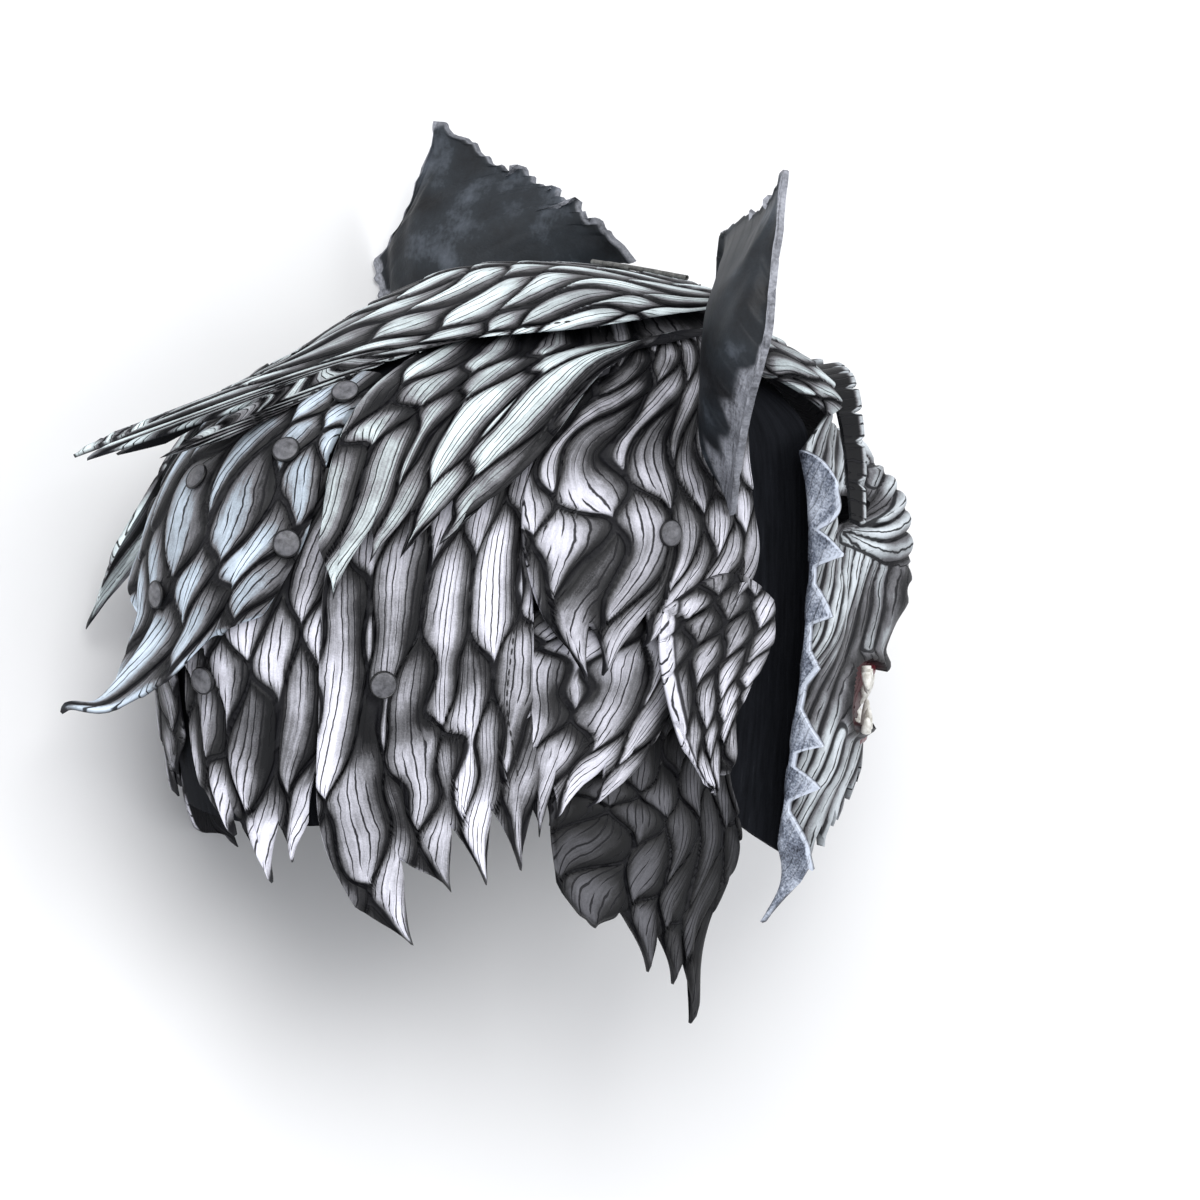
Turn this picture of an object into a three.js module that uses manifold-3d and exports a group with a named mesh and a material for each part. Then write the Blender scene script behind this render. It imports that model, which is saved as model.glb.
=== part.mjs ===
// Leather werewolf mask, carved and laced over a dark hood, lying on its left side.
// Everything is first placed as it is worn, in millimetres: forward, towards the wearer's right, and up,
// from a point in the middle of the head. At the end the whole mask is laid down on the ground.

import * as THREE from 'three';
import Module from 'manifold-3d';
import { mergeVertices } from 'three/addons/utils/BufferGeometryUtils.js';

const wasm = await Module();
wasm.setup();

// Driving dimensions of the hood, which every panel of the mane follows.
const HOOD_HALF_LENGTH = 166;
const HOOD_HALF_WIDTH = 82;
const HOOD_CROWN_HEIGHT = 133;
const HOOD_CENTRE_FORWARD = -92;
const HOOD_CROWN_SHIFT = 42;
const HOOD_SQUARENESS = 2.6;
const HOOD_DOME_POWER = 2.4;
const NECK_DEPTH = 230;
const NECK_SHORTENING = 55;
const NECK_NARROWING = 13;
const NECK_SHIFT = 12;
const HOOD_WALL = 3;
const HOOD_BACK_HEM = -100;
const HOOD_FRONT_HEM = -92;
const FACE_OPENING_ANGLE = 34;
const LINER_ANGLE = 56;
const LINER_EDGE = { forward: 66, right: 60 };
const LINER_TOP = 62;

// Leather of the panels, and how far apart their layers lie.
const LEATHER = 2.6;
const LAYER = 5.5;
const LOCK_CROWN = 1.3;
const LOCK_GROOVE = -0.9;
const TIP_NOTCH = 0.1;
const CLEARANCE = 0.5;

// Ears, rivets, teeth and lacing.
const EAR_LEATHER = 3;
const EAR_JAG = 4.5;
const RIVET_RADIUS = 6.8;
const RIVET_HEIGHT = 1.9;
const FANG_LENGTH = 17;
const TOOTH_LENGTH = 10;
const TOOTH_RADIUS = 2.9;
const GUM_RADIUS = 4;
const LACE_RADIUS = 1.3;
const LACE_LIFT = 2.2;

// How the mask lies: the direction that points up from the ground, and the one that points to the
// right of someone who sees its right side from behind.
const UP_WHEN_LYING = { forward: 0.034, right: 0.954, up: 0.298 };
const RIGHT_WHEN_LYING = { forward: 0.82, right: 0.57, up: 0 };

const leather = (color, roughness = 0.62) =>
  new THREE.MeshStandardMaterial({ color, roughness, metalness: 0 });

const MATERIALS = {
  mane: leather(0x8d9096),
  maneDark: leather(0x55575d),
  crown: leather(0xa7aaa9),
  face: leather(0x9a9ea0),
  ear: leather(0x23262c, 0.7),
  hood: leather(0x15161a, 0.85),
  rivet: leather(0x3e4046, 0.5),
  lace: leather(0x6f7170, 0.7),
  tooth: new THREE.MeshStandardMaterial({ color: 0xd9d6cb, roughness: 0.35, metalness: 0 }),
};

const RIGHT = 1;
const LEFT = -1;
const SIDES = [['right', RIGHT], ['left', LEFT]];

const mask = new THREE.Group();

// A point given as it is worn. The y axis points to the wearer's left, so that the axes are right-handed.
const worn = (forward, right, up) => new THREE.Vector3(forward, -right, up);

const mix = (from, to, share) => from + (to - from) * share;

const smoothStep = (from, to, value) => {
  const share = THREE.MathUtils.clamp((value - from) / (to - from), 0, 1);
  return share * share * (3 - 2 * share);
};

const bump = (value, centre, width) => Math.exp(-(((value - centre) / width) ** 2));

const signedPower = (value, power) => Math.sign(value) * Math.abs(value) ** power;

// The point at a share of the way along a smooth curve through a few points.
function along(points, share) {
  const curve = new THREE.CatmullRomCurve3(points.map((point) => new THREE.Vector3(...point)), false, 'centripetal');
  return curve.getPoint(THREE.MathUtils.clamp(share, 0, 1));
}

// The hood's outer face at an angle round the head (0 at the face, 90 at the right ear, 180 at the back)
// and a height.
function hoodPoint(angle, height) {
  const rise = THREE.MathUtils.clamp(height / HOOD_CROWN_HEIGHT, 0, 1);
  const drop = Math.max(-height / NECK_DEPTH, 0);
  const dome = Math.max(1 - rise ** HOOD_DOME_POWER, 0) ** (1 / HOOD_DOME_POWER);
  const halfLength = (HOOD_HALF_LENGTH - NECK_SHORTENING * drop ** 2) * dome;
  const halfWidth = (HOOD_HALF_WIDTH - NECK_NARROWING * drop ** 2) * dome;
  const centre = HOOD_CENTRE_FORWARD + HOOD_CROWN_SHIFT * rise ** 2 + NECK_SHIFT * drop ** 2;
  const turn = THREE.MathUtils.degToRad(angle);
  return worn(
    centre + halfLength * signedPower(Math.cos(turn), 2 / HOOD_SQUARENESS),
    halfWidth * signedPower(Math.sin(turn), 2 / HOOD_SQUARENESS),
    height,
  );
}

// A point that stands a given distance off the hood.
function headPoint(angle, height, lift) {
  const angleStep = 0.1;
  const heightStep = 0.2;
  const low = Math.min(height, HOOD_CROWN_HEIGHT - 2 * heightStep);
  const across = hoodPoint(angle + angleStep, low).sub(hoodPoint(angle - angleStep, low));
  const upward = hoodPoint(angle, low + heightStep).sub(hoodPoint(angle, low - heightStep));
  const outward = across.cross(upward).normalize().multiplyScalar(-1);
  return hoodPoint(angle, height).addScaledVector(outward, lift);
}

// A closed piece of leather from a lattice of points. place(a, b) gives a point of its outer face,
// parameter(i, j) the values a and b of a lattice point, relief(i, j) how far the carving stands out,
// kept(i, j) whether a cell is there, so that holes can be cut.
function leatherSheet({
  columns, rows, place, thickness = LEATHER, relief = () => 0, kept = () => true, ring = false, pole = false,
  parameter = (i, j) => [i / columns, j / rows],
}) {
  const step = 0.002;
  const points = [];
  const index = [];
  const outer = [];
  for (let j = 0; j <= rows; j += 1) {
    index.push([]);
    for (let i = 0; i <= columns; i += 1) {
      const wrapped = ring && i === columns;
      const collapsed = pole && j === rows && i > 0;
      if (wrapped || collapsed) {
        index[j].push(index[j][0]);
        continue;
      }
      const [a, b] = parameter(i, j);
      const inside = THREE.MathUtils.clamp(b, step, 1 - step);
      const across = place(a + step, inside).sub(place(a - step, inside));
      const down = place(a, inside + step).sub(place(a, inside - step));
      const outward = down.cross(across).normalize();
      const base = place(a, b);
      index[j].push(outer.length);
      outer.push(base.clone().addScaledVector(outward, relief(i, j)));
      points.push(base.addScaledVector(outward, -thickness));
    }
  }

  const vertices = outer.concat(points);
  const shift = outer.length;
  const triangles = [];
  const edges = new Map();
  const addTriangle = (p, q, r) => {
    if (p === q || q === r || r === p) {
      return;
    }
    triangles.push(p, q, r, p + shift, r + shift, q + shift);
    [[p, q], [q, r], [r, p]].forEach(([from, to]) => {
      if (!edges.delete(`${to},${from}`)) {
        edges.set(`${from},${to}`, [from, to]);
      }
    });
  };
  for (let j = 0; j < rows; j += 1) {
    for (let i = 0; i < columns; i += 1) {
      if (!kept(i, j)) {
        continue;
      }
      const corners = [index[j][i], index[j][i + 1], index[j + 1][i + 1], index[j + 1][i]];
      const [p, q, r, s] = corners;
      const firstDiagonal = outer[p].distanceTo(outer[r]);
      const secondDiagonal = outer[q].distanceTo(outer[s]);
      if (firstDiagonal <= secondDiagonal) {
        addTriangle(p, q, r);
        addTriangle(p, r, s);
      } else {
        addTriangle(p, q, s);
        addTriangle(q, r, s);
      }
    }
  }
  edges.forEach(([from, to]) => {
    triangles.push(to, from, from + shift, to, from + shift, to + shift);
  });
  return closedGeometry(vertices, triangles);
}

// A geometry from vertices and triangles, turned so that its faces point out, without unused vertices.
function closedGeometry(vertices, triangles) {
  let volume = 0;
  for (let t = 0; t < triangles.length; t += 3) {
    const [p, q, r] = [vertices[triangles[t]], vertices[triangles[t + 1]], vertices[triangles[t + 2]]];
    volume += p.dot(q.clone().cross(r));
  }
  if (volume < 0) {
    triangles.reverse();
  }
  const used = new Map();
  const positions = [];
  const indices = triangles.map((vertex) => {
    if (!used.has(vertex)) {
      used.set(vertex, used.size);
      positions.push(...vertices[vertex].toArray());
    }
    return used.get(vertex);
  });
  const geometry = new THREE.BufferGeometry();
  geometry.setAttribute('position', new THREE.Float32BufferAttribute(positions, 3));
  geometry.setIndex(indices);
  return geometry;
}

function solidOf(geometry) {
  const bare = geometry.clone();
  bare.deleteAttribute('normal');
  bare.deleteAttribute('uv');
  const merged = mergeVertices(bare, 1e-4);
  return new wasm.Manifold(new wasm.Mesh({
    numProp: 3,
    vertProperties: new Float32Array(merged.attributes.position.array),
    triVerts: new Uint32Array(merged.index.array),
  }));
}

// One solid from several that touch.
function joined(geometries) {
  const whole = geometries.map(solidOf).reduce((sum, solid) => sum.add(solid)).getMesh();
  const geometry = new THREE.BufferGeometry();
  geometry.setAttribute('position', new THREE.Float32BufferAttribute(whole.vertProperties, 3));
  geometry.setIndex(Array.from(whole.triVerts));
  return geometry;
}

function addPiece(name, geometry, material) {
  const piece = new THREE.Mesh(geometry, material);
  piece.name = name;
  mask.add(piece);
}

// The dark hood: a dome that is open below and in front, where the face shows. Beside the opening it runs
// straight forward as a liner inside the rim of the face.
function hoodPlace(angle, height) {
  const point = headPoint(angle, height, 0);
  const turn = Math.abs(angle) > 180 ? 360 - Math.abs(angle) : Math.abs(angle);
  const side = Math.sign(point.y) || 1;
  const share = smoothStep(LINER_ANGLE, FACE_OPENING_ANGLE, turn) * smoothStep(LINER_TOP + 40, LINER_TOP, height);
  const liner = new THREE.Vector3(LINER_EDGE.forward, side * LINER_EDGE.right, height);
  return point.lerp(liner, share);
}

function hood() {
  const columns = 26;
  const rows = 9;
  const openingColumns = Math.round((FACE_OPENING_ANGLE / 360) * columns);
  const openingRows = 5;
  const hem = (angle) => mix(HOOD_FRONT_HEM, HOOD_BACK_HEM, (1 - Math.cos(THREE.MathUtils.degToRad(angle))) / 2);
  const levels = [0, 0.22, 0.44, 0.62, 0.77, 0.87, 0.93, 0.97, 0.993, 1];
  return leatherSheet({
    columns,
    rows,
    ring: true,
    pole: true,
    thickness: HOOD_WALL,
    place: (a, b) => {
      const angle = 360 * a;
      const height = mix(hem(angle), HOOD_CROWN_HEIGHT, b);
      return hoodPlace(angle, height);
    },
    parameter: (i, j) => [i / columns, levels[j]],
    kept: (i, j) => j >= openingRows || (i >= openingColumns && i < columns - openingColumns),
  });
}

// A panel of mane, carved into locks that end in points. Its rear and front edges run from root to tip
// through points given as angle, height and lift off the hood.
function manePanel(panel, side) {
  const columns = 2 * panel.tips.length;
  const length = side === LEFT ? panel.leftLength ?? 1 : 1;
  const rearEdge = (side === LEFT ? panel.leftRear : undefined) ?? panel.rear;
  const curl = panel.curl ?? 0;
  const reach = (column) => {
    const before = panel.tips[Math.floor((column - 1) / 2)] ?? 1;
    const after = panel.tips[Math.floor(column / 2)] ?? 1;
    return column % 2 === 1 ? before : Math.min(before, after) - (panel.notch ?? TIP_NOTCH);
  };
  const place = (a, b) => {
    const rear = along(rearEdge, b);
    const front = along(panel.front, b);
    const angle = mix(rear.x, front.x, a) * side;
    const height = mix(rear.y, front.y, a);
    const lift = mix(rear.z, front.z, a) + curl * smoothStep(0.72, 1.1, b / length);
    return headPoint(angle, height, lift);
  };
  const relief = (i, j) => {
    const row = Math.floor((j / panel.rows) * panel.scaleRows);
    return (i + row) % 2 === 1 ? LOCK_CROWN : LOCK_GROOVE;
  };
  return leatherSheet({
    columns,
    rows: panel.rows,
    place: side === RIGHT ? place : (a, b) => place(1 - a, b),
    relief: (i, j) => relief(side === RIGHT ? i : columns - i, j),
    parameter: (i, j) => [i / columns, (j / panel.rows) * length * reach(side === RIGHT ? i : columns - i)],
  });
}

const PAIRED_PANELS = {
  jaw_mane: {
    material: MATERIALS.maneDark,
    rear: [[89, -52, LAYER], [92, -80, LAYER], [93, -115, LAYER], [92, -160, LAYER]],
    front: [[61, -58, LAYER], [58, -100, LAYER], [50, -136, LAYER], [60, -180, LAYER], [58, -234, LAYER]],
    tips: [0.98, 1, 0.96, 1],
    leftLength: 0.62,
    rows: 7,
    scaleRows: 4,
  },
  back_lock: {
    material: MATERIALS.mane,
    rear: [[178, 12, 6.2], [178.5, -35, 6.2], [178, -80, 6.2], [168, -140, 6.2]],
    front: [[134, 20, 6.2], [136, -36, 6.2], [142, -80, 6.2], [149, -118, 6.2]],
    tips: [0.84, 1, 0.98],
    leftLength: 0.82,
    rows: 7,
    scaleRows: 3,
  },
  side_mane: {
    material: MATERIALS.mane,
    rear: [[136, 50, 2 * LAYER], [138, -34, 2 * LAYER], [141, -108, 2 * LAYER], [130, -166, 2 * LAYER]],
    front: [[98, 74, 2 * LAYER], [96, 4, 2 * LAYER], [96, -44, 2 * LAYER], [95, -110, 2 * LAYER]],
    tips: [1, 0.93, 0.98, 0.97],
    leftLength: 0.9,
    rows: 8,
    scaleRows: 4,
  },
  neck_side: {
    material: MATERIALS.mane,
    rear: [[93.5, 0, 2 * LAYER], [93.5, -40, 2 * LAYER], [94, -112, 2 * LAYER]],
    front: [[66, -4, 2 * LAYER], [76, -55, 2 * LAYER], [92, -112, 2 * LAYER]],
    tips: [1, 0.95, 0.9],
    rows: 6,
    scaleRows: 3,
  },
  temple: {
    material: MATERIALS.mane,
    rear: [[90, 101, 3 * LAYER], [99, 66, 3 * LAYER], [98, 20, 3 * LAYER], [91, -38, 3 * LAYER]],
    front: [[54, 108, 3 * LAYER], [60, 60, 3 * LAYER], [60, 8, 3 * LAYER], [86, -38, 3 * LAYER]],
    tips: [1, 1, 0.93, 0.88, 0.8],
    rows: 7,
    scaleRows: 4,
  },
  upper_mane: {
    material: MATERIALS.mane,
    rear: [[146, 112, 5.5], [144, 82, 17], [140, 44, 4 * LAYER], [139, 8, 4 * LAYER]],
    front: [[56, 110, 4 * LAYER], [85, 107, 4 * LAYER], [100, 68, 4 * LAYER], [116, 34, 4 * LAYER]],
    leftRear: [[146, 112, 5.5], [144, 82, 17], [141, 34, 28], [141, -27, 64]],
    tips: [1, 0.93, 0.97, 1],
    curl: 5,
    rows: 8,
    scaleRows: 4,
  },
  cheek_flap: {
    material: MATERIALS.mane,
    rear: [[80, 10, 4 * LAYER], [82, -22, 4 * LAYER], [78, -70, 4 * LAYER], [71, -102, 4 * LAYER]],
    front: [[57, 6, 4 * LAYER], [55, -28, 4 * LAYER], [64, -56, 4 * LAYER], [69, -102, 4 * LAYER]],
    tips: [0.96, 1, 0.9],
    rows: 7,
    scaleRows: 4,
  },
};

// The panel that hangs over the back of the head and ends in one upturned hook.
const BACK_PANEL = {
  rear: [[211, 106, 6], [214, 82, 9.5], [217, 38, 2 * LAYER], [206, -6, 2 * LAYER], [188, -56, 15]],
  front: [[149, 106, 6], [146, 82, 9.5], [143, 38, 2 * LAYER], [154, -6, 2 * LAYER], [172, -56, 15]],
  tips: [0.72, 0.84, 1, 0.84, 0.72],
  notch: 0.05,
  curl: 62,
  rows: 9,
  scaleRows: 5,
};

// The roof of the mane, from its laced front end on the crown to the tip that stands out behind.
const CROWN_RIDGE = [
  [37, 0, 135], [-18, 0, 146], [-66, 0, 149], [-119, 0, 137], [-176, 0, 119], [-233, 0, 102], [-322, 0, 80],
];
const CROWN_EDGE = [
  [3, 67, 132], [-34, 73, 131], [-72, 74, 129], [-101, 63, 127], [-132, 48, 124], [-168, 30, 117], [-223, 18, 95],
  [-296, 18, 64],
];

function crownPoint(across, share) {
  const ridge = along(CROWN_RIDGE, share);
  const edge = along(CROWN_EDGE, share);
  const turn = (Math.abs(across) * Math.PI) / 2;
  return worn(
    mix(ridge.x, edge.x, Math.abs(across)),
    Math.sign(across) * edge.y * Math.sin(turn),
    mix(edge.z, ridge.z, Math.cos(turn)),
  );
}

function crownPanel() {
  const reach = [0.93, 0.97, 0.86, 1, 0.9, 1, 0.84, 0.96, 0.9];
  const columns = reach.length - 1;
  const rows = 15;
  return leatherSheet({
    columns,
    rows,
    place: (a, b) => crownPoint(1 - 2 * a, b),
    parameter: (i, j) => [i / columns, (j / rows) * reach[i]],
    relief: (i, j) => ((i + Math.floor(j / 3)) % 2 === 1 ? LOCK_CROWN : LOCK_GROOVE),
  });
}

// A zigzag lace over the front end of the roof.
function crownLacing() {
  const stitches = 9;
  const points = [];
  for (let k = 0; k <= stitches; k += 1) {
    const across = k % 2 === 0 ? 0.1 : -0.1;
    const seam = crownPoint(across, mix(0.02, 0.15, k / stitches));
    seam.z += LACE_RADIUS + LOCK_CROWN + LACE_LIFT;
    points.push(seam);
  }
  const path = new THREE.CatmullRomCurve3(points, false, 'centripetal');
  const section = new THREE.Shape(new THREE.Path().absarc(0, 0, LACE_RADIUS, 0, 2 * Math.PI).getPoints(3));
  return new THREE.ExtrudeGeometry(section, { steps: stitches, extrudePath: path, bevelEnabled: false });
}

// An ear: a scoop of thin leather that opens forwards, with torn edges. Its edges run from the base to
// the tip, and its base follows the head.
const EAR_BASE = [[32, 121, 26], [53, 115, 33], [65, 107, 33], [74, 91, 28], [75, 68, 22], [70, 46, 21], [66, 34, 21]];
const EAR_INNER_EDGE = [[25, 34, 139], [14, 55, 167], [11, 86, 181], [0, 115, 192], [-15, 145, 209]];
const EAR_OUTER_EDGE = [[-2, 103, 36], [-22, 140, 72], [-34, 165, 104], [-35, 173, 132], [-28, 160, 165], [-18, 150, 209]];
const EAR_BULGE = 14;

function ear(side) {
  const columns = 7;
  const rows = 12;
  const asWorn = ([forward, right, up]) => worn(forward, right * side, up);
  const innerEdge = EAR_INNER_EDGE.map(asWorn).map((point) => point.toArray());
  const outerEdge = EAR_OUTER_EDGE.map(asWorn).map((point) => point.toArray());
  const base = (a) => {
    const point = along(EAR_BASE, a);
    return headPoint(point.x * side, point.y, point.z);
  };
  const straightBase = (a) => along(innerEdge, 0).lerp(along(outerEdge, 0), a);
  const place = (a, b) => {
    const share = THREE.MathUtils.clamp(a, 0, 1);
    const point = along(innerEdge, b).lerp(along(outerEdge, b), a);
    const hug = (1 - Math.min(b, 1)) ** 1.3;
    point.addScaledVector(base(share).sub(straightBase(share)), hug);
    point.x -= EAR_BULGE * Math.sin(Math.PI * share) * Math.sin(Math.PI * Math.min(b * 1.15, 1));
    return point;
  };
  const torn = (j) => (j > 1 && j < rows && j % 3 === 0 ? EAR_JAG : 0);
  return leatherSheet({
    columns,
    rows,
    thickness: EAR_LEATHER,
    place: side === RIGHT ? place : (a, b) => place(1 - a, b),
    parameter: (i, j) => {
      const b = j / rows;
      const width = along(innerEdge, b).distanceTo(along(outerEdge, b));
      const inset = Math.min(torn(j) / width, 0.2);
      return [THREE.MathUtils.clamp(i / columns, inset, 1 - inset), b];
    },
  });
}

// The face, in levels from the brow down to the chin.
const FACE_LEVELS = [
  { up: -200, halfWidth: 56, rim: 44, cheek: 74, middle: 80, snout: 26 },
  { up: -162, halfWidth: 60, rim: 47, cheek: 88, middle: 102, snout: 28 },
  { up: -135, halfWidth: 68, rim: 46, cheek: 106, middle: 136, snout: 30 },
  { up: -105, halfWidth: 73, rim: 46, cheek: 110, middle: 143, snout: 32 },
  { up: -82, halfWidth: 76, rim: 47, cheek: 110, middle: 147, snout: 33 },
  { up: -58, halfWidth: 78, rim: 50, cheek: 107, middle: 160, snout: 32 },
  { up: -33, halfWidth: 79, rim: 52, cheek: 104, middle: 174, snout: 30 },
  { up: 0, halfWidth: 79, rim: 55, cheek: 99, middle: 175, snout: 26 },
  { up: 20, halfWidth: 78, rim: 56, cheek: 95, middle: 168, snout: 24 },
  { up: 40, halfWidth: 76, rim: 56, cheek: 95, middle: 152, snout: 25 },
  { up: 60, halfWidth: 72, rim: 54, cheek: 94, middle: 120, snout: 32 },
  { up: 84, halfWidth: 63, rim: 50, cheek: 90, middle: 96, snout: 60 },
];
const FACE_TOP = 84;
const FACE_SIDE_DROP = 24;
const CHIN = -118;
const CHIN_SIDE = -148;
// The rows of the face are spaced as for a long chin, and drawn together below the mouth.
const LONG_CHIN = -158;
const BELOW_MOUTH = -106;
const EYE = { right: 33, up: 19, halfWidth: 15, halfHeight: 8, socket: 9 };
const MOUTH = { right: 0, up: -83, halfWidth: 38, halfHeight: 17 };
const RIM_FLAP = { forward: 9, outward: 17 };
const FLAP_LENGTHS = [0.2, 1, 0.2, 0.9, 0.25, 1, 0.2, 0.75, 0.15, 0.8, 0.15, 1, 0.2, 0.9, 0.3];

function faceLevel(up, key) {
  const height = THREE.MathUtils.clamp(up, FACE_LEVELS[0].up, FACE_TOP);
  const above = Math.max(FACE_LEVELS.findIndex((level) => level.up >= height), 1);
  const [low, high] = [FACE_LEVELS[above - 1], FACE_LEVELS[above]];
  return mix(low[key], high[key], (height - low.up) / (high.up - low.up));
}

// A point of the face: across runs from -1 at the left rim to 1 at the right one.
function facePoint(across, up) {
  const halfWidth = faceLevel(up, 'halfWidth');
  const right = halfWidth * Math.sin((across * Math.PI) / 2);
  const reach = Math.min(Math.abs(right) / halfWidth, 1);
  const rim = faceLevel(up, 'rim');
  const cheek = mix(rim, faceLevel(up, 'cheek'), Math.sqrt(1 - reach ** 2.6));
  const snout = Math.exp(-((Math.abs(right) / faceLevel(up, 'snout')) ** 2.4));
  const socket = EYE.socket * bump(Math.abs(right), EYE.right, 17) * bump(up, EYE.up, 12);
  const brow = 5 * bump(up, 44, 10) * bump(Math.abs(right), 34, 22);
  const forward = mix(cheek, Math.max(faceLevel(up, 'middle'), cheek), snout) - socket + brow;
  return worn(forward, right, up);
}

// The share by which a point lies inside an oval hole: below 1 inside, above 1 outside.
function ovalShare(hole, right, up) {
  return Math.hypot((Math.abs(right) - hole.right) / hole.halfWidth, (up - hole.up) / hole.halfHeight);
}

function faceMask() {
  const columns = 24;
  const rows = 14;
  const innerColumns = columns - 2;
  const holes = [EYE, MOUTH];
  const bottomTip = (i) => (i % 2 === 1 ? -7 : 6);
  const cornerTip = (i) => (Math.min(i, columns - i) === 1 ? -34 : 0);
  const acrossOf = (i) => ((i - columns / 2) / innerColumns) * 2;
  const upOf = (i, j) => {
    const across = THREE.MathUtils.clamp(acrossOf(i), -1, 1);
    const top = FACE_TOP - FACE_SIDE_DROP * across ** 2;
    const longBottom = mix(LONG_CHIN, CHIN_SIDE, across ** 2);
    const bottom = mix(CHIN, CHIN_SIDE, Math.abs(across));
    const up = mix(top, longBottom, j / rows);
    const drawn = (BELOW_MOUTH - bottom) / (BELOW_MOUTH - longBottom);
    const tip = j === rows ? bottomTip(i) + cornerTip(i) : 0;
    return tip + (up < BELOW_MOUTH ? mix(BELOW_MOUTH, up, drawn) : up);
  };
  const rightOf = (across, up) => faceLevel(up, 'halfWidth') * Math.sin((across * Math.PI) / 2);
  const snapped = (i, j) => {
    let across = THREE.MathUtils.clamp(acrossOf(i), -1, 1);
    let up = upOf(i, j);
    const right = rightOf(across, up);
    holes.forEach((hole) => {
      const share = ovalShare(hole, right, up);
      if (share < 1.12) {
        const edge = 1 / Math.max(share, 0.2);
        const side = Math.sign(right) || 1;
        const offset = (Math.abs(right) - hole.right) * edge + hole.right;
        up = hole.up + (up - hole.up) * edge;
        across = (Math.asin(THREE.MathUtils.clamp((side * offset) / faceLevel(up, 'halfWidth'), -1, 1)) * 2) / Math.PI;
      }
    });
    return [across, up];
  };
  const isHole = (i, j) => {
    const across = (acrossOf(i) + acrossOf(i + 1)) / 2;
    const up = (upOf(i, j) + upOf(i + 1, j + 1)) / 2;
    return holes.some((hole) => ovalShare(hole, rightOf(across, up), up) < 0.85);
  };
  const flapShare = (j) => FLAP_LENGTHS[j];
  const place = (a, b) => {
    const across = THREE.MathUtils.clamp(a, -1, 1);
    const point = facePoint(across, b);
    const flare = Math.max(Math.abs(a) - 1, 0);
    return point.add(worn(RIM_FLAP.forward * flare, Math.sign(a) * RIM_FLAP.outward * flare, 0));
  };
  const scale = 1000;
  return leatherSheet({
    columns,
    rows,
    place: (a, b) => place(-a, -b * scale),
    parameter: (i, j) => {
      const [across, up] = snapped(i, j);
      const flap = i === 0 || i === columns ? flapShare(j) : 0;
      return [-(across + Math.sign(across) * flap), -up / scale];
    },
    relief: (i, j) => (i > 1 && i < columns - 1 && (i + 2 * j) % 4 < 2 ? 0.9 : -0.5),
    kept: (i, j) => !isHole(i, j),
  });
}

// Strands that join the hood to the brow.
function foreheadPanel() {
  const middle = [[22, 0, 130], [50, 0, 119], [80, 0, 105.5], [103, 0, 88.5]];
  const edge = [[5, 60, 106], [38, 65, 97], [62, 66, 84], [82, 61, 70]];
  const columns = 10;
  const rows = 5;
  return leatherSheet({
    columns,
    rows,
    place: (a, b) => {
      const across = 1 - 2 * a;
      const centre = along(middle, b);
      const side = along(edge, b);
      const turn = (Math.abs(across) * Math.PI) / 2;
      return worn(
        mix(side.x, centre.x, Math.cos(turn)),
        Math.sign(across) * side.y * Math.sin(turn),
        mix(side.z, centre.z, Math.cos(turn)),
      );
    },
    parameter: (i, j) => [i / columns, (j / rows) * (i % 2 === 1 ? 1 : 0.93)],
    relief: (i) => (i % 2 === 1 ? 1 : -0.6),
  });
}

// The jagged ruff that stands out from the brow over each eye.
function browCrest(side) {
  const root = [[105, 5, 90], [103, 26, 86], [95, 50, 63], [84, 72, 22]];
  const free = [[126, 6, 91], [121, 25, 87], [108, 51, 63], [91, 76, 18]];
  const columns = 12;
  const rows = 2;
  const place = (a, b) => {
    const from = along(root, a);
    const to = along(free, a);
    return worn(mix(from.x, to.x, b), mix(from.y, to.y, b) * side, mix(from.z, to.z, b));
  };
  return leatherSheet({
    columns,
    rows,
    place: side === RIGHT ? place : (a, b) => place(1 - a, b),
    parameter: (i, j) => [i / columns, (j / rows) * (i % 4 < 2 ? 1 : 0.76)],
  });
}

// A row of teeth on its gum, pointing up or down.
function teeth(up, direction, gumFront) {
  const gumPath = [[106, 31], [gumFront - 12, 22], [gumFront, 0], [gumFront - 12, -22], [106, -31]]
    .map(([forward, right]) => worn(forward, right, up));
  const curve = new THREE.CatmullRomCurve3(gumPath);
  const section = new THREE.Shape(new THREE.Path().absarc(0, 0, GUM_RADIUS, 0, 2 * Math.PI).getPoints(3));
  const gum = new THREE.ExtrudeGeometry(section, { steps: 8, extrudePath: curve, bevelEnabled: false });
  const shares = [0.12, 0.21, 0.3, 0.44, 0.56, 0.7, 0.79, 0.88];
  const cones = shares.map((share) => {
    const isFang = Math.abs(share - 0.5) === 0.2;
    const length = isFang ? FANG_LENGTH : TOOTH_LENGTH;
    const cone = new THREE.ConeGeometry(isFang ? TOOTH_RADIUS * 1.3 : TOOTH_RADIUS, length, 5);
    cone.translate(0, length / 2, 0);
    cone.rotateX((direction * Math.PI) / 2);
    const root = curve.getPoint(share);
    cone.translate(root.x, root.y, root.z + direction * (GUM_RADIUS - 1.5));
    return cone;
  });
  return joined([gum, ...cones]);
}

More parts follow.
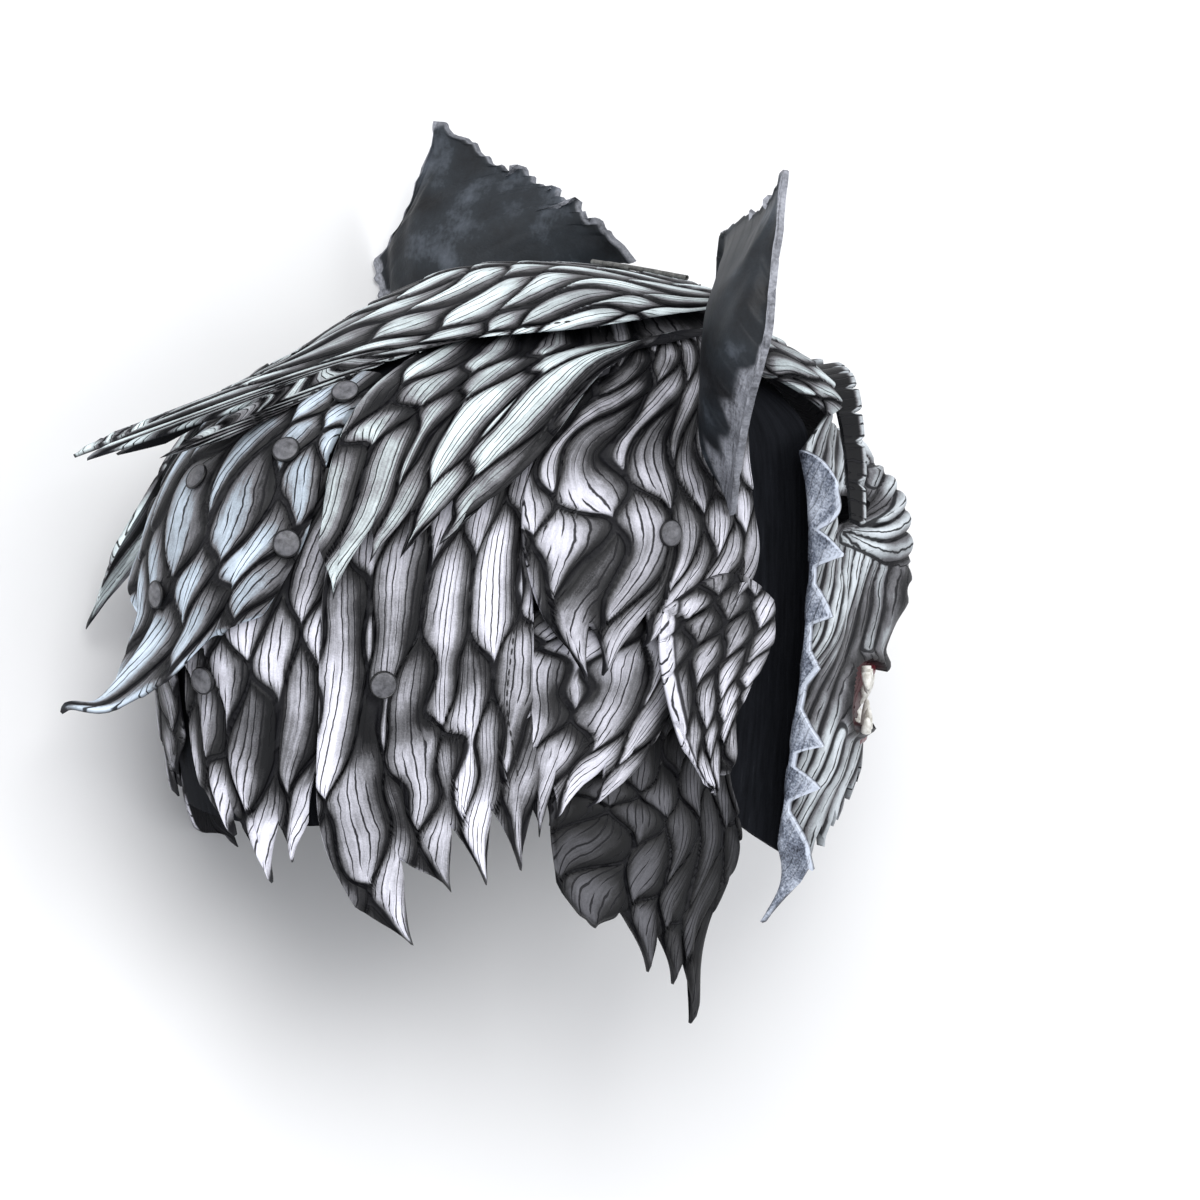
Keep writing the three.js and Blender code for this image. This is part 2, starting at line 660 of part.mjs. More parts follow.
// Flat round rivet caps, given by angle, height and lift off the hood.
const RIVETS = {
  rivet_back_top_right: [157, 72, 2 * LAYER],
  rivet_back_top_left: [203, 72, 2 * LAYER],
  rivet_back_upper_right: [153, 96, 9],
  rivet_back_upper_left: [207, 96, 9],
  rivet_back_middle: [180, 57, 2 * LAYER],
  rivet_back_right: [147, 36, 2 * LAYER],
  rivet_back_left: [213, 36, 2 * LAYER],
  rivet_back_low_right: [168, -27, 2 * LAYER],
  rivet_back_low: [182, 8, 2 * LAYER],
  rivet_side_right: [124, -28, 2 * LAYER],
  rivet_side_left: [-124, -28, 2 * LAYER],
  rivet_temple_right: [80, 30, 3 * LAYER],
  rivet_temple_left: [-80, 30, 3 * LAYER],
};

function rivet([angle, height, lift]) {
  const edge = 0.7;
  const profile = [[0, 0], [RIVET_RADIUS, 0], [RIVET_RADIUS - edge, RIVET_HEIGHT], [0, RIVET_HEIGHT]];
  const cap = new THREE.LatheGeometry(profile.map(([x, y]) => new THREE.Vector2(x, y)), 7);
  const foot = headPoint(angle, height, lift + LOCK_CROWN + CLEARANCE);
  const outward = headPoint(angle, height, lift + 1).sub(headPoint(angle, height, lift)).normalize();
  cap.applyQuaternion(new THREE.Quaternion().setFromUnitVectors(new THREE.Vector3(0, 1, 0), outward));
  cap.translate(foot.x, foot.y, foot.z);
  return cap;
}

addPiece('hood', hood(), MATERIALS.hood);
addPiece('face_mask', faceMask(), MATERIALS.face);
addPiece('forehead_panel', foreheadPanel(), MATERIALS.crown);
addPiece('upper_teeth', teeth(-67, -1, 139), MATERIALS.tooth);
addPiece('lower_teeth', teeth(-101, 1, 133), MATERIALS.tooth);
addPiece('crown_panel', crownPanel(), MATERIALS.crown);
addPiece('crown_lacing', crownLacing(), MATERIALS.lace);
addPiece('back_panel', manePanel(BACK_PANEL, RIGHT), MATERIALS.mane);
SIDES.forEach(([sideName, side]) => {
  addPiece(`ear_${sideName}`, ear(side), MATERIALS.ear);
  addPiece(`brow_crest_${sideName}`, browCrest(side), MATERIALS.maneDark);
  Object.entries(PAIRED_PANELS).forEach(([name, panel]) => {
    addPiece(`${name}_${sideName}`, manePanel(panel, side), panel.material);
  });
});
Object.entries(RIVETS).forEach(([name, place]) => addPiece(name, rivet(place), MATERIALS.rivet));

// Lay the mask down, and set the origin on the ground below the middle of its box.
const upward = worn(UP_WHEN_LYING.forward, UP_WHEN_LYING.right, UP_WHEN_LYING.up).normalize();
const rightward = worn(RIGHT_WHEN_LYING.forward, RIGHT_WHEN_LYING.right, RIGHT_WHEN_LYING.up);
rightward.addScaledVector(upward, -rightward.dot(upward)).normalize();
const away = upward.clone().cross(rightward);
mask.setRotationFromMatrix(new THREE.Matrix4().makeBasis(rightward, away, upward).transpose());
mask.updateMatrixWorld(true);
const box = new THREE.Box3().setFromObject(mask, true);
mask.position.set(-(box.min.x + box.max.x) / 2, -(box.min.y + box.max.y) / 2, -box.min.z);

const werewolfMask = new THREE.Group();
werewolfMask.add(mask);

export default werewolfMask;
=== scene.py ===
"""Looks of the leather werewolf mask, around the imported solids.

Everything is placed as the mask is worn, in millimetres: forward, towards the wearer's right, and up, from a
point in the middle of the head. The functions and named values of the form follow those of the solids. At the
end of each piece its points are laid down as the solids are, in metres.
"""
import math

import bpy
import numpy as np
from mathutils import Matrix, Vector


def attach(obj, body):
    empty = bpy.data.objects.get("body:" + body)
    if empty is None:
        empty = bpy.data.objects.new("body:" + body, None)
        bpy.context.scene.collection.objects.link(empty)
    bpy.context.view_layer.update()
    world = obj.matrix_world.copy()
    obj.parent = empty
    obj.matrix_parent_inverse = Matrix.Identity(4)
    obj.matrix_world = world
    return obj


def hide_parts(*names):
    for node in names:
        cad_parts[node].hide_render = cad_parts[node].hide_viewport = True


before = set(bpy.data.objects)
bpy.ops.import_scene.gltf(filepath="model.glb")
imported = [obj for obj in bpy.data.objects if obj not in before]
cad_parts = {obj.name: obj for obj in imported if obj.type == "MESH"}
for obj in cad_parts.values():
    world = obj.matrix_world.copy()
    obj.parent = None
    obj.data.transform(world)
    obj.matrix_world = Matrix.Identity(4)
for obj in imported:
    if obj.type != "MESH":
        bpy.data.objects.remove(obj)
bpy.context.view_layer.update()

# The hood's form, as in the solids.
HALF_LENGTH = 166
HALF_WIDTH = 82
CROWN_HEIGHT = 133
CENTRE_FORWARD = -92
CROWN_SHIFT = 42
SQUARENESS = 2.6
DOME_POWER = 2.4
NECK_DEPTH = 230
NECK_SHORTENING = 55
NECK_NARROWING = 13
NECK_SHIFT = 12
HOOD_WALL = 3
BACK_HEM = -100
FRONT_HEM = -92
OPENING_ANGLE = 34
LINER_ANGLE = 56
LINER_EDGE = (66, 60)
LINER_TOP = 62
THROAT_DROP = 62
LEATHER = 2.6
LAYER = 5.5
LOCK_CROWN = 1.3
CLEARANCE = 0.5

# How the mask lies, as in the solids.
UP_WHEN_LYING = (0.034, 0.954, 0.298)
RIGHT_WHEN_LYING = (0.82, 0.57, 0.0)

# The fine lattice and its carving.
COLUMN_STEP = 1.35
ROW_STEP = 1.9
LOCK_HEIGHT = 2.0
GROOVE_DEPTH = 1.0
BEVEL = 0.8
LINE_SPACING = 3.7
HAIR_DRIFT = 1.5
OGEE = 0.05

# The photograph's viewpoint as the mask is worn.
VIEW_TURN = math.radians(35)
VIEW_RISE = math.radians(10)
VIEW_DISTANCE = 3000
VIEW_OFFSET = (-15, -20)
LENS_MM = 180
SENSOR_MM = 36

RIGHT, LEFT = 1, -1
SIDES = (("right", RIGHT), ("left", LEFT))


# Plain helpers

def mix(start, stop, share):
    return start + (stop - start) * share


def smooth_step(start, stop, value):
    share = np.clip((value - start) / (stop - start), 0, 1)
    return share * share * (3 - 2 * share)


def bump_at(value, centre, width):
    return np.exp(-(((value - centre) / width) ** 2))


def signed_power(value, power):
    return np.sign(value) * np.abs(value) ** power


def worn(forward, right, up):
    """Points given as worn. The y axis points to the wearer's left, so that the axes are right-handed."""
    forward, right, up = np.broadcast_arrays(forward, right, up)
    return np.stack([forward, -right, up], -1).astype(float)


def chance(a, b, seed):
    """A repeatable number from 0 to 1 for each pair of numbers."""
    value = np.sin(a * 12.9898 + b * 78.233 + seed * 37.719) * 43758.5453
    return value - np.floor(value)


def ripple(x, y, size, seed):
    """A smooth, irregular field from about -1 to 1, with features of the given size."""
    random = np.random.default_rng(seed)
    total = 0
    for _ in range(6):
        angle, phase, length = random.uniform((0, 0, 0.7), (2 * np.pi, 2 * np.pi, 1.6))
        total = total + np.sin((x * np.cos(angle) + y * np.sin(angle)) * 2 * np.pi / (size * length) + phase)
    return total / 3


def unit(vectors):
    return vectors / np.maximum(np.linalg.norm(vectors, axis=-1, keepdims=True), 1e-9)


def along(points, share):
    """The points at shares of the way along a smooth centripetal curve through a few points."""
    points = np.asarray(points, float)
    share = np.clip(np.asarray(share, float), 0, 1)
    place = share.ravel() * (len(points) - 1)
    index = np.minimum(place.astype(int), len(points) - 2)
    extended = np.vstack([2 * points[0] - points[1], points, 2 * points[-1] - points[-2]])
    p0, p1, p2, p3 = (extended[index + k] for k in range(4))
    d0, d1, d2 = (np.sqrt(np.linalg.norm(b - a, axis=1))[:, None] for a, b in ((p0, p1), (p1, p2), (p2, p3)))
    start = ((p1 - p0) / d0 - (p2 - p0) / (d0 + d1) + (p2 - p1) / d1) * d1
    stop = ((p2 - p1) / d1 - (p3 - p1) / (d1 + d2) + (p3 - p2) / d2) * d1
    t = (place - index)[:, None]
    value = p1 + start * t + (3 * (p2 - p1) - 2 * start - stop) * t**2 + (2 * (p1 - p2) + start + stop) * t**3
    return value.reshape(share.shape + (points.shape[1],))


# The form

def hood_point(angle, height):
    """The hood's outer face at an angle round the head (0 at the face, 90 at the right ear) and a height."""
    rise = np.clip(height / CROWN_HEIGHT, 0, 1)
    drop = np.maximum(-height / NECK_DEPTH, 0)
    dome = np.maximum(1 - rise**DOME_POWER, 0) ** (1 / DOME_POWER)
    turn = np.radians(angle)
    return worn(
        CENTRE_FORWARD + CROWN_SHIFT * rise**2 + NECK_SHIFT * drop**2
        + (HALF_LENGTH - NECK_SHORTENING * drop**2) * dome * signed_power(np.cos(turn), 2 / SQUARENESS),
        (HALF_WIDTH - NECK_NARROWING * drop**2) * dome * signed_power(np.sin(turn), 2 / SQUARENESS),
        height,
    )


def head_point(angle, height, lift):
    """A point that stands a given distance off the hood."""
    angle, height, lift = np.broadcast_arrays(angle, np.asarray(height, float), lift)
    low = np.minimum(height, CROWN_HEIGHT - 0.4)
    across = hood_point(angle + 0.1, low) - hood_point(angle - 0.1, low)
    upward = hood_point(angle, low + 0.2) - hood_point(angle, low - 0.2)
    return hood_point(angle, height) - unit(np.cross(across, upward)) * lift[..., None]


# Laying down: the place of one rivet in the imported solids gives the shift.

up_axis = unit(worn(*UP_WHEN_LYING))
right_axis = worn(*RIGHT_WHEN_LYING)
right_axis = unit(right_axis - right_axis.dot(up_axis) * up_axis)
LAY = np.vstack([right_axis, np.cross(up_axis, right_axis), up_axis])
RIVET_HEIGHT = 1.9
RIVETS = {
    "rivet_back_top_right": (157, 72, 2 * LAYER),
    "rivet_back_top_left": (203, 72, 2 * LAYER),
    "rivet_back_upper_right": (153, 96, 9),
    "rivet_back_upper_left": (207, 96, 9),
    "rivet_back_middle": (180, 57, 2 * LAYER),
    "rivet_back_right": (147, 36, 2 * LAYER),
    "rivet_back_left": (213, 36, 2 * LAYER),
    "rivet_back_low_right": (168, -27, 2 * LAYER),
    "rivet_back_low": (182, 8, 2 * LAYER),
    "rivet_side_right": (124, -28, 2 * LAYER),
    "rivet_side_left": (-124, -28, 2 * LAYER),
    "rivet_temple_right": (80, 30, 3 * LAYER),
    "rivet_temple_left": (-80, 30, 3 * LAYER),
}


def rivet_axis(angle, height, lift):
    """The foot of a rivet and the direction that it points in."""
    foot = head_point(angle, height, lift + LOCK_CROWN + CLEARANCE)
    return foot, unit(head_point(angle, height, lift + 1.0) - head_point(angle, height, float(lift)))


def packed_centre(node):
    corners = {tuple(round(c, 5) for c in vertex.co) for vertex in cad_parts[node].data.vertices}
    return np.array(sorted(corners)).mean(0)


known_foot, known_axis = rivet_axis(*RIVETS["rivet_side_right"])
SHIFT = packed_centre("rivet_side_right") - LAY @ (known_foot + known_axis * RIVET_HEIGHT / 2) / 1000


def lay_down(points):
    return points @ LAY.T / 1000 + SHIFT


# Materials

class Shader:
    """A procedural material and short names for the nodes that it is made of."""

    def __init__(self, name):
        self.material = bpy.data.materials.new(name)
        self.material.use_nodes = True
        self.tree = self.material.node_tree
        self.surface = self.tree.nodes["Principled BSDF"]
        self.position = self.node("TexCoord", {}, output="Object")

    def node(self, kind, inputs, output=0, **settings):
        node = self.tree.nodes.new("ShaderNode" + kind)
        for key, value in settings.items():
            setattr(node, key, value)
        for key, value in inputs.items():
            self.feed(node.inputs[key], value)
        return node.outputs[output]

    def feed(self, socket, value):
        if isinstance(value, bpy.types.NodeSocket):
            self.tree.links.new(value, socket)
        else:
            socket.default_value = value

    def math(self, operation, a, b=0.0, c=0.0):
        return self.node("Math", {0: a, 1: b, 2: c}, operation=operation)

    def times(self, a, b):
        return self.math("MULTIPLY", a, b)

    def plus(self, a, factor, b):
        return self.math("MULTIPLY_ADD", a, factor, b)

    def varied(self, value, change, weight):
        """A value, changed by a noise that is 0.5 in its middle."""
        return self.plus(self.math("SUBTRACT", change, 0.5), weight, value)

    def field(self, name):
        return self.node("Attribute", {}, output="Fac", attribute_name=name)

    def ease(self, value, start, stop, low=0.0, high=1.0):
        inputs = {0: value, 1: start, 2: stop, 3: low, 4: high}
        return self.node("MapRange", inputs, interpolation_type="SMOOTHSTEP")

    def vector(self, x, y, z):
        return self.node("CombineXYZ", {0: x, 1: y, 2: z})

    def noise(self, vector, scale, detail=2.0, roughness=0.5):
        return self.node("TexNoise", {
            "Vector": vector, "Scale": scale, "Detail": detail, "Roughness": roughness})

    def blend(self, share, first, second):
        return self.node("Mix", {0: share, 6: first, 7: second}, output=2, data_type="RGBA")

    def ramp(self, value, stops):
        node = self.tree.nodes.new("ShaderNodeValToRGB")
        ramp = node.color_ramp
        while len(ramp.elements) < len(stops):
            ramp.elements.new(0.5)
        for element, (place, color) in zip(ramp.elements, stops):
            element.position = place
            element.color = (*color, 1)
        self.feed(node.inputs[0], value)
        return node.outputs[0]

    def finish(self, color, roughness, height=None, distance=0.001, **sockets):
        self.feed(self.surface.inputs["Base Color"], color)
        self.feed(self.surface.inputs["Roughness"], roughness)
        for key, value in sockets.items():
            self.feed(self.surface.inputs[key.replace("_", " ")], value)
        if height is not None:
            normal = self.node("Bump", {"Strength": 1.0, "Distance": distance, "Height": height})
            self.feed(self.surface.inputs["Normal"], normal)
        return self.material


def tinted(grey, tint):
    return tuple(grey * share for share in tint)


def suede_color(s):
    """The flesh side of the leather: blue-grey, with dark specks."""
    patches = s.noise(s.position, 60.0, 3.0)
    specks = s.noise(s.position, 900.0, 2.0)
    value = s.plus(specks, 0.6, s.plus(patches, 0.9, -0.27))
    value = s.math("ADD", value, s.ease(s.field("rim"), 0.6, 2.4, 0.35, 0.0))
    return s.ramp(value, [
        (0.25, (0.02, 0.023, 0.035)), (0.44, (0.22, 0.25, 0.32)), (0.66, (0.70, 0.76, 0.88))])


INK = (0.004, 0.004, 0.006, 1)
DARK_RED = (0.055, 0.007, 0.010, 1)
# Painted shade, near black, for the flesh side inside the face and under the panels.
INSIDE_SHADE = (0.010, 0.010, 0.013, 1)
# Distances from a line of the carving, in millimetres, between which its ink fades and the hair cuts begin.
OUTLINE_FADE = (0.45, 1.2)
CUT_FADE = (0.9, 1.8)
# How much the streaks, the blotches and the grain change the tone of the dye.
DYE_WEIGHTS = (0.5, 0.42, 0.20)


def carved_leather(name, tint, gain=1.0):
    """Dyed leather with carved locks: black outlines and hair cuts, rubbed pale on the high places, with the
    painted highlight and painted shade that the tone field carries.
    """
    s = Shader(name)
    wobble = s.noise(s.position, 140.0, 2.0)
    edge = s.math("MINIMUM", s.math("ABSOLUTE", s.field("edge")), s.math("ABSOLUTE", s.field("border")))
    edge = s.varied(edge, wobble, 0.7)
    hair = s.varied(s.field("hair"), wobble, 0.5)
    grow = s.field("grow")
    lock = s.times(s.field("lock"), 61.0)
    index = s.math("FLOOR", hair)
    offset = s.math("ABSOLUTE", s.math("SUBTRACT", s.math("SUBTRACT", hair, index), 0.5))
    dashes = s.noise(s.vector(s.times(index, 5.3), s.times(grow, 2.6), lock), 1.0, 1.0)
    half_cut = s.ease(dashes, 0.32, 0.54, 0.0, 0.10)
    cut = s.math("SUBTRACT", 1.0, s.ease(s.math("SUBTRACT", offset, half_cut), -0.05, 0.02))
    cut = s.times(s.times(cut, s.ease(edge, *CUT_FADE)), s.ease(half_cut, 0.01, 0.05))
    dark = s.math("MAXIMUM", cut, s.ease(edge, *OUTLINE_FADE, 1.0, 0.0))

    streaks = s.noise(s.vector(s.times(hair, 2.2), s.times(grow, 3.0), lock), 1.0, 4.0, 0.65)
    blotches = s.noise(s.position, 75.0, 4.0, 0.6)
    grain = s.noise(s.position, 1300.0, 2.0)
    # The tone field holds painted highlight and painted shade as well as the dye's own tone.
    tone = s.field("tone")
    for change, weight in zip((streaks, blotches, grain), DYE_WEIGHTS):
        tone = s.varied(tone, change, weight)
    color = s.ramp(tone, [
        (0.04, tinted(0.003, (0.9, 0.95, 1.25))), (0.26, tinted(0.028 * gain, (1.0, 0.98, 1.06))),
        (0.5, tinted(0.17 * gain, (0.99, 0.985, 1.06))), (0.7, tinted(0.46 * gain, tint)),
        (0.95, tinted(0.84 * gain, tint))])
    color = s.blend(s.times(dark, 0.96), color, INK)
    color = s.blend(s.field("red"), color, DARK_RED)
    # The flesh side shows as blue-grey suede where the suede field says so; elsewhere, inside the face and
    # under the panels, it is painted shade, near black.
    inner = s.blend(s.field("suede"), INSIDE_SHADE, suede_color(s))
    color = s.blend(s.field("flesh"), color, inner)
    height = s.plus(dark, -1.0, s.times(grain, 0.10))
    height = s.plus(streaks, 0.25, height)
    roughness = s.plus(blotches, 0.25, 0.42)
    return s.finish(color, roughness, height, 0.0006, Specular_IOR_Level=0.25)


def ear_leather():
    """Smooth dark leather with cloudy dye and a pale rolled edge; carved and paler on its front."""
    s = Shader("ear_leather")
    clouds = s.noise(s.position, 22.0, 5.0, 0.6)
    grain = s.noise(s.position, 700.0, 3.0)
    color = s.ramp(s.varied(clouds, grain, 0.09), [
        (0.36, (0.002, 0.0025, 0.004)), (0.55, (0.014, 0.018, 0.023)), (0.75, (0.10, 0.115, 0.14))])
    hair = s.vector(s.times(s.field("hair"), 0.8), s.times(s.field("grow"), 4.0), 0.0)
    rubbed = s.ramp(s.plus(s.noise(hair, 1.0, 4.0, 0.7), 0.7, s.times(grain, 0.3)),
                    [(0.36, (0.05, 0.052, 0.06)), (0.62, (0.33, 0.34, 0.38))])
    color = s.blend(s.ease(s.field("rim"), 0.5, 1.8, 0.6, 0.0), color, rubbed)
    front = s.times(s.field("flesh"), s.ease(s.field("rim"), 0.4, 1.6))
    color = s.blend(s.math("MAXIMUM", front, s.field("rolled")), color, rubbed)
    return s.finish(color, s.plus(clouds, 0.2, 0.46), grain, 0.00015, Specular_IOR_Level=0.3)


def hood_leather():
    s = Shader("hood_leather")
    strokes = s.noise(s.vector(s.times(s.field("hair"), 1.4), s.field("grow"), 0.0), 1.0, 5.0, 0.7)
    nap = s.noise(s.position, 1500.0, 2.0)
    color = s.ramp(strokes, [
        (0.35, (0.002, 0.0025, 0.004)), (0.62, (0.008, 0.009, 0.012)), (0.85, (0.035, 0.038, 0.045))])
    return s.finish(color, 0.92, nap, 0.0003, Specular_IOR_Level=0.12)


def plain_material(name, dark, pale, scale, roughness, distance=0.0002, **sockets):
    """A material that varies softly between two colours."""
    s = Shader(name)
    clouds = s.noise(s.position, scale, 4.0, 0.6)
    color = s.ramp(clouds, [(0.3, dark), (0.7, pale)])
    return s.finish(color, roughness, s.noise(s.position, scale * 8, 3.0), distance, **sockets)


def rivet_metal():
    """Dull grey metal with a dark edge."""
    s = Shader("rivet_metal")
    clouds = s.noise(s.position, 320.0, 4.0, 0.6)
    color = s.ramp(clouds, [(0.3, (0.035, 0.035, 0.04)), (0.7, (0.15, 0.15, 0.165))])
    color = s.blend(s.ease(s.field("rim"), 5.7, 6.3), color, (0.003, 0.003, 0.004, 1))
    return s.finish(color, 0.4, s.noise(s.position, 2600.0), 0.0002)


def mouth_material():
    """Aged teeth in dark red gums."""
    s = Shader("tooth_resin")
    stains = s.noise(s.position, 260.0, 4.0, 0.6)
    bone = s.ramp(stains, [(0.3, (0.36, 0.335, 0.28)), (0.62, (0.82, 0.81, 0.77))])
    gum = s.ramp(stains, [(0.3, (0.05, 0.006, 0.010)), (0.7, (0.20, 0.025, 0.035))])
    color = s.blend(s.field("gum"), bone, gum)
    return s.finish(color, 0.32, stains, 0.0003)


TOP_TINT = (0.90, 1.01, 1.03)
SIDE_TINT = (0.98, 0.975, 1.08)
BACK_TINT = (0.85, 0.98, 1.12)
FACE_TINT = (0.93, 1.0, 1.05)
MATERIALS = {
    "top": carved_leather("carved_top", TOP_TINT, 1.0),
    # The temple and neck panels, which face the light, take the side leather darkened as a painted shade.
    "temple": carved_leather("carved_temple", SIDE_TINT, 0.85),
    "side": carved_leather("carved_side", SIDE_TINT),
    "back": carved_leather("carved_back", BACK_TINT, 0.85),
    "dark": carved_leather("carved_dark", SIDE_TINT, 0.17),
    "face": carved_leather("carved_face", FACE_TINT, 0.85),
    "ear": ear_leather(),
    "hood": hood_leather(),
    "rivet": rivet_metal(),
    "lace": plain_material("lace_leather", (0.03, 0.03, 0.03), (0.16, 0.16, 0.15), 500.0, 0.6),
    "thread": plain_material("thread", (0.004, 0.004, 0.005), (0.02, 0.02, 0.022), 900.0, 0.7),
    "tooth": mouth_material(),
    "gum": plain_material("gum", (0.012, 0.002, 0.003), (0.07, 0.010, 0.014), 150.0, 0.5),
}


# Meshes

CREASE_DEGREES = 55


def new_object(name, data):
    made = bpy.data.objects.new(name, data)
    bpy.context.scene.collection.objects.link(made)
    return made


def make_piece(name, vertices, faces, fields, material, nodes):
    """A mesh piece from points as worn and faces, with its point attributes, in the frame's body."""
    used, renumbered = np.unique(faces, return_inverse=True)
    mesh = bpy.data.meshes.new(name)
    mesh.from_pydata(lay_down(vertices[used]).tolist(), [], renumbered.reshape(faces.shape).tolist())
    for key, values in fields.items():
        attribute = mesh.attributes.new(key, "FLOAT", "POINT")
        attribute.data.foreach_set("value", np.asarray(values, np.float32)[used])
    mesh.materials.append(MATERIALS[material])
    mesh.shade_smooth()
    mesh.set_sharp_from_angle(angle=math.radians(CREASE_DEGREES))
    piece = new_object(name, mesh)
    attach(piece, "root")
    if nodes:
        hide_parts(*nodes)


def lattice(columns, rows, top=0):
    """Shares of a width and of a length at the points of a sheet."""
    return np.meshgrid(np.linspace(0, 1, columns + 1), np.linspace(top, 1, rows + 1))


def from_rim(a, b, width, length):
    """The distance from the sides and the free end of a sheet."""
    return np.minimum(np.minimum(a, 1 - a) * width, (1 - b) * length)


def sheet(name, points, relief, fields, material, nodes, thickness=LEATHER, kept=True, ring=False,
          underside=1.0, flipped=False):
    """A closed piece of leather from a lattice of points of its outer face.

    A lattice whose columns run the other way round, so that it would face inwards, is flipped.
    """
    order = -1 if flipped else 1
    points, relief = points[:, ::order], relief[:, ::order]
    rows, columns = points.shape[:2]
    across = np.gradient(points, axis=1)
    if ring:
        across = (np.roll(points, -1, 1) - np.roll(points, 1, 1)) / 2
    outward = unit(np.cross(np.gradient(points, axis=0), across))
    outer = points + outward * relief[..., None]
    inner = points - outward * thickness
    vertices = np.concatenate([outer.reshape(-1, 3), inner.reshape(-1, 3)])
    lower = rows * columns

    cells = columns if ring else columns - 1
    j, i = np.mgrid[0:rows - 1, 0:cells]
    following = (i + 1) % columns
    above, below = j * columns, (j + 1) * columns
    corners = np.stack([above + i, above + following, below + following, below + i], -1)
    kept = np.broadcast_to(kept, j.shape)[:, ::order]
    padded = np.pad(kept, 1)
    if ring:
        padded[:, 0], padded[:, -1] = padded[:, -2], padded[:, 1]
    walls = []
    for (first, second), neighbour in (((0, 3), padded[1:-1, :-2]), ((3, 2), padded[2:, 1:-1]),
                                       ((2, 1), padded[1:-1, 2:]), ((1, 0), padded[:-2, 1:-1])):
        open_cells = corners[kept & ~neighbour]
        start, stop = open_cells[:, first], open_cells[:, second]
        walls.append(np.stack([stop, start, start + lower, stop + lower], -1))
    faces = np.concatenate([corners[kept][:, ::-1], corners[kept] + lower, *walls])
    doubled = {key: np.tile(values[:, ::order].ravel(), 2) for key, values in fields.items()}
    doubled["flesh"] = np.repeat([0.0, underside], lower)
    make_piece(name, vertices, faces, doubled, material, nodes)
    return outer


def bevel(height, rim):
    """Carving that dies out towards the rim, which is cut at a slant."""
    return height * smooth_step(0, 1.5, rim) - BEVEL * smooth_step(1.2, 0, rim)


# The tone of a lock: its middle, the painted highlight on its lit flank, the painted shade on its shaded
# flank, along its outline and at its root, where the lock above overlaps it, and its paler tip. Each lock is
# a little lighter or darker than the next.
LOCK_TONE = 0.30
LIT_TONE = 0.46
SHADED_TONE = -0.22
OUTLINE_SHADE_TONE = -0.30
ROOT_SHADE_TONE = -0.34
TIP_TONE = 0.06
LUCK_TONE = 0.24
NO_BORDER = 9.0


def locks(p, q, column_mm, row_mm, seed):
    """Carved locks as pointed, overlapping lens shapes. p counts the columns and q the rows of locks.

    Gives the height of the carving and the fields that colour it.
    """
    wide = 0.25 * (1 + np.cos(2 * np.pi * q))
    near = np.round(p)
    signed = wide - np.abs(p - near)
    whole = signed > 0
    centre_p = np.where(whole, near, np.floor(p) + 0.5)
    centre_q = np.where(whole, np.round(q), np.floor(q) + 0.5)
    half = np.where(whole, wide, 0.5 - wide)
    across = np.clip((p - centre_p) / np.maximum(half, 0.02), -1, 1)
    grown = q - centre_q + 0.5
    luck = chance(centre_p, centre_q, seed)
    slope = 0.5 * np.pi * np.abs(np.sin(2 * np.pi * q)) * column_mm / row_mm
    edge = signed * column_mm / np.sqrt(1 + slope**2)
    groove = np.abs(edge)

    crowned = (1 - np.abs(across) ** 3) ** 0.7
    height = LOCK_HEIGHT * crowned * (0.2 + 0.8 * smooth_step(0, 0.85, grown))
    height = height - GROOVE_DEPTH * np.exp(-((groove / 0.9) ** 2))
    hair = across * (half / 0.5) ** 0.6 * column_mm / LINE_SPACING / 2 + luck * 7 + 20
    hair = hair + HAIR_DRIFT * (0.3 + luck) * grown
    # A painted highlight on the lit flank, fading towards the root; painted shade on the other flank, along
    # the outline and at the root, under the lock above.
    lit = smooth_step(0, 0.85, 1 - np.abs(across + 0.2)) * (0.3 + 0.7 * smooth_step(0.1, 0.55, grown))
    tone = LOCK_TONE + LIT_TONE * lit + LUCK_TONE * (luck - 0.5)
    tone = tone + SHADED_TONE * smooth_step(0.3, 1.0, across) + OUTLINE_SHADE_TONE * smooth_step(2.4, 0.3, groove)
    tone = tone + ROOT_SHADE_TONE * smooth_step(0.42, 0.0, grown) + TIP_TONE * smooth_step(0.75, 0.97, grown)
    border = np.full(p.shape, NO_BORDER)
    return height, {"edge": edge, "border": border, "hair": hair, "grow": grown, "lock": luck, "tone": tone}


def tube(path, radius, sides=10):
    """Vertices and quads of a round bar along a path; radius may vary along it."""
    path = np.asarray(path, float)
    radius = np.broadcast_to(radius, len(path))
    tangent = unit(np.gradient(path, axis=0))
    helper = np.array([0.0, 0.0, 1.0]) if abs(tangent[0][2]) < 0.9 else np.array([1.0, 0.0, 0.0])
    first = unit(np.cross(tangent, helper))
    second = np.cross(tangent, first)
    turn = np.linspace(0, 2 * np.pi, sides, endpoint=False)
    ring = first[:, None] * np.cos(turn)[None, :, None] + second[:, None] * np.sin(turn)[None, :, None]
    vertices = (path[:, None] + ring * radius[:, None, None]).reshape(-1, 3)
    j, i = np.mgrid[0:len(path) - 1, 0:sides]
    following, start = (i + 1) % sides, j * sides
    quads = np.stack([start + i, start + sides + i, start + sides + following, start + following], -1)
    return vertices, quads.reshape(-1, 4)


def joined(parts):
    """One set of vertices and faces from several parts, and the value of each part at its vertices."""
    vertices, faces, values, shift = [], [], [], 0
    for points, quads, value in parts:
        vertices.append(points)
        faces.append(quads + shift)
        values.append(np.full(len(points), value, float))
        shift += len(points)
    return np.concatenate(vertices), np.concatenate(faces), np.concatenate(values)


STITCH_LENGTH = 3.4
STITCH_PITCH = 5.0
STITCH_RADIUS = 0.5
STITCH_TAPER = np.array([0.2, 0.85, 1, 1, 0.85, 0.2])


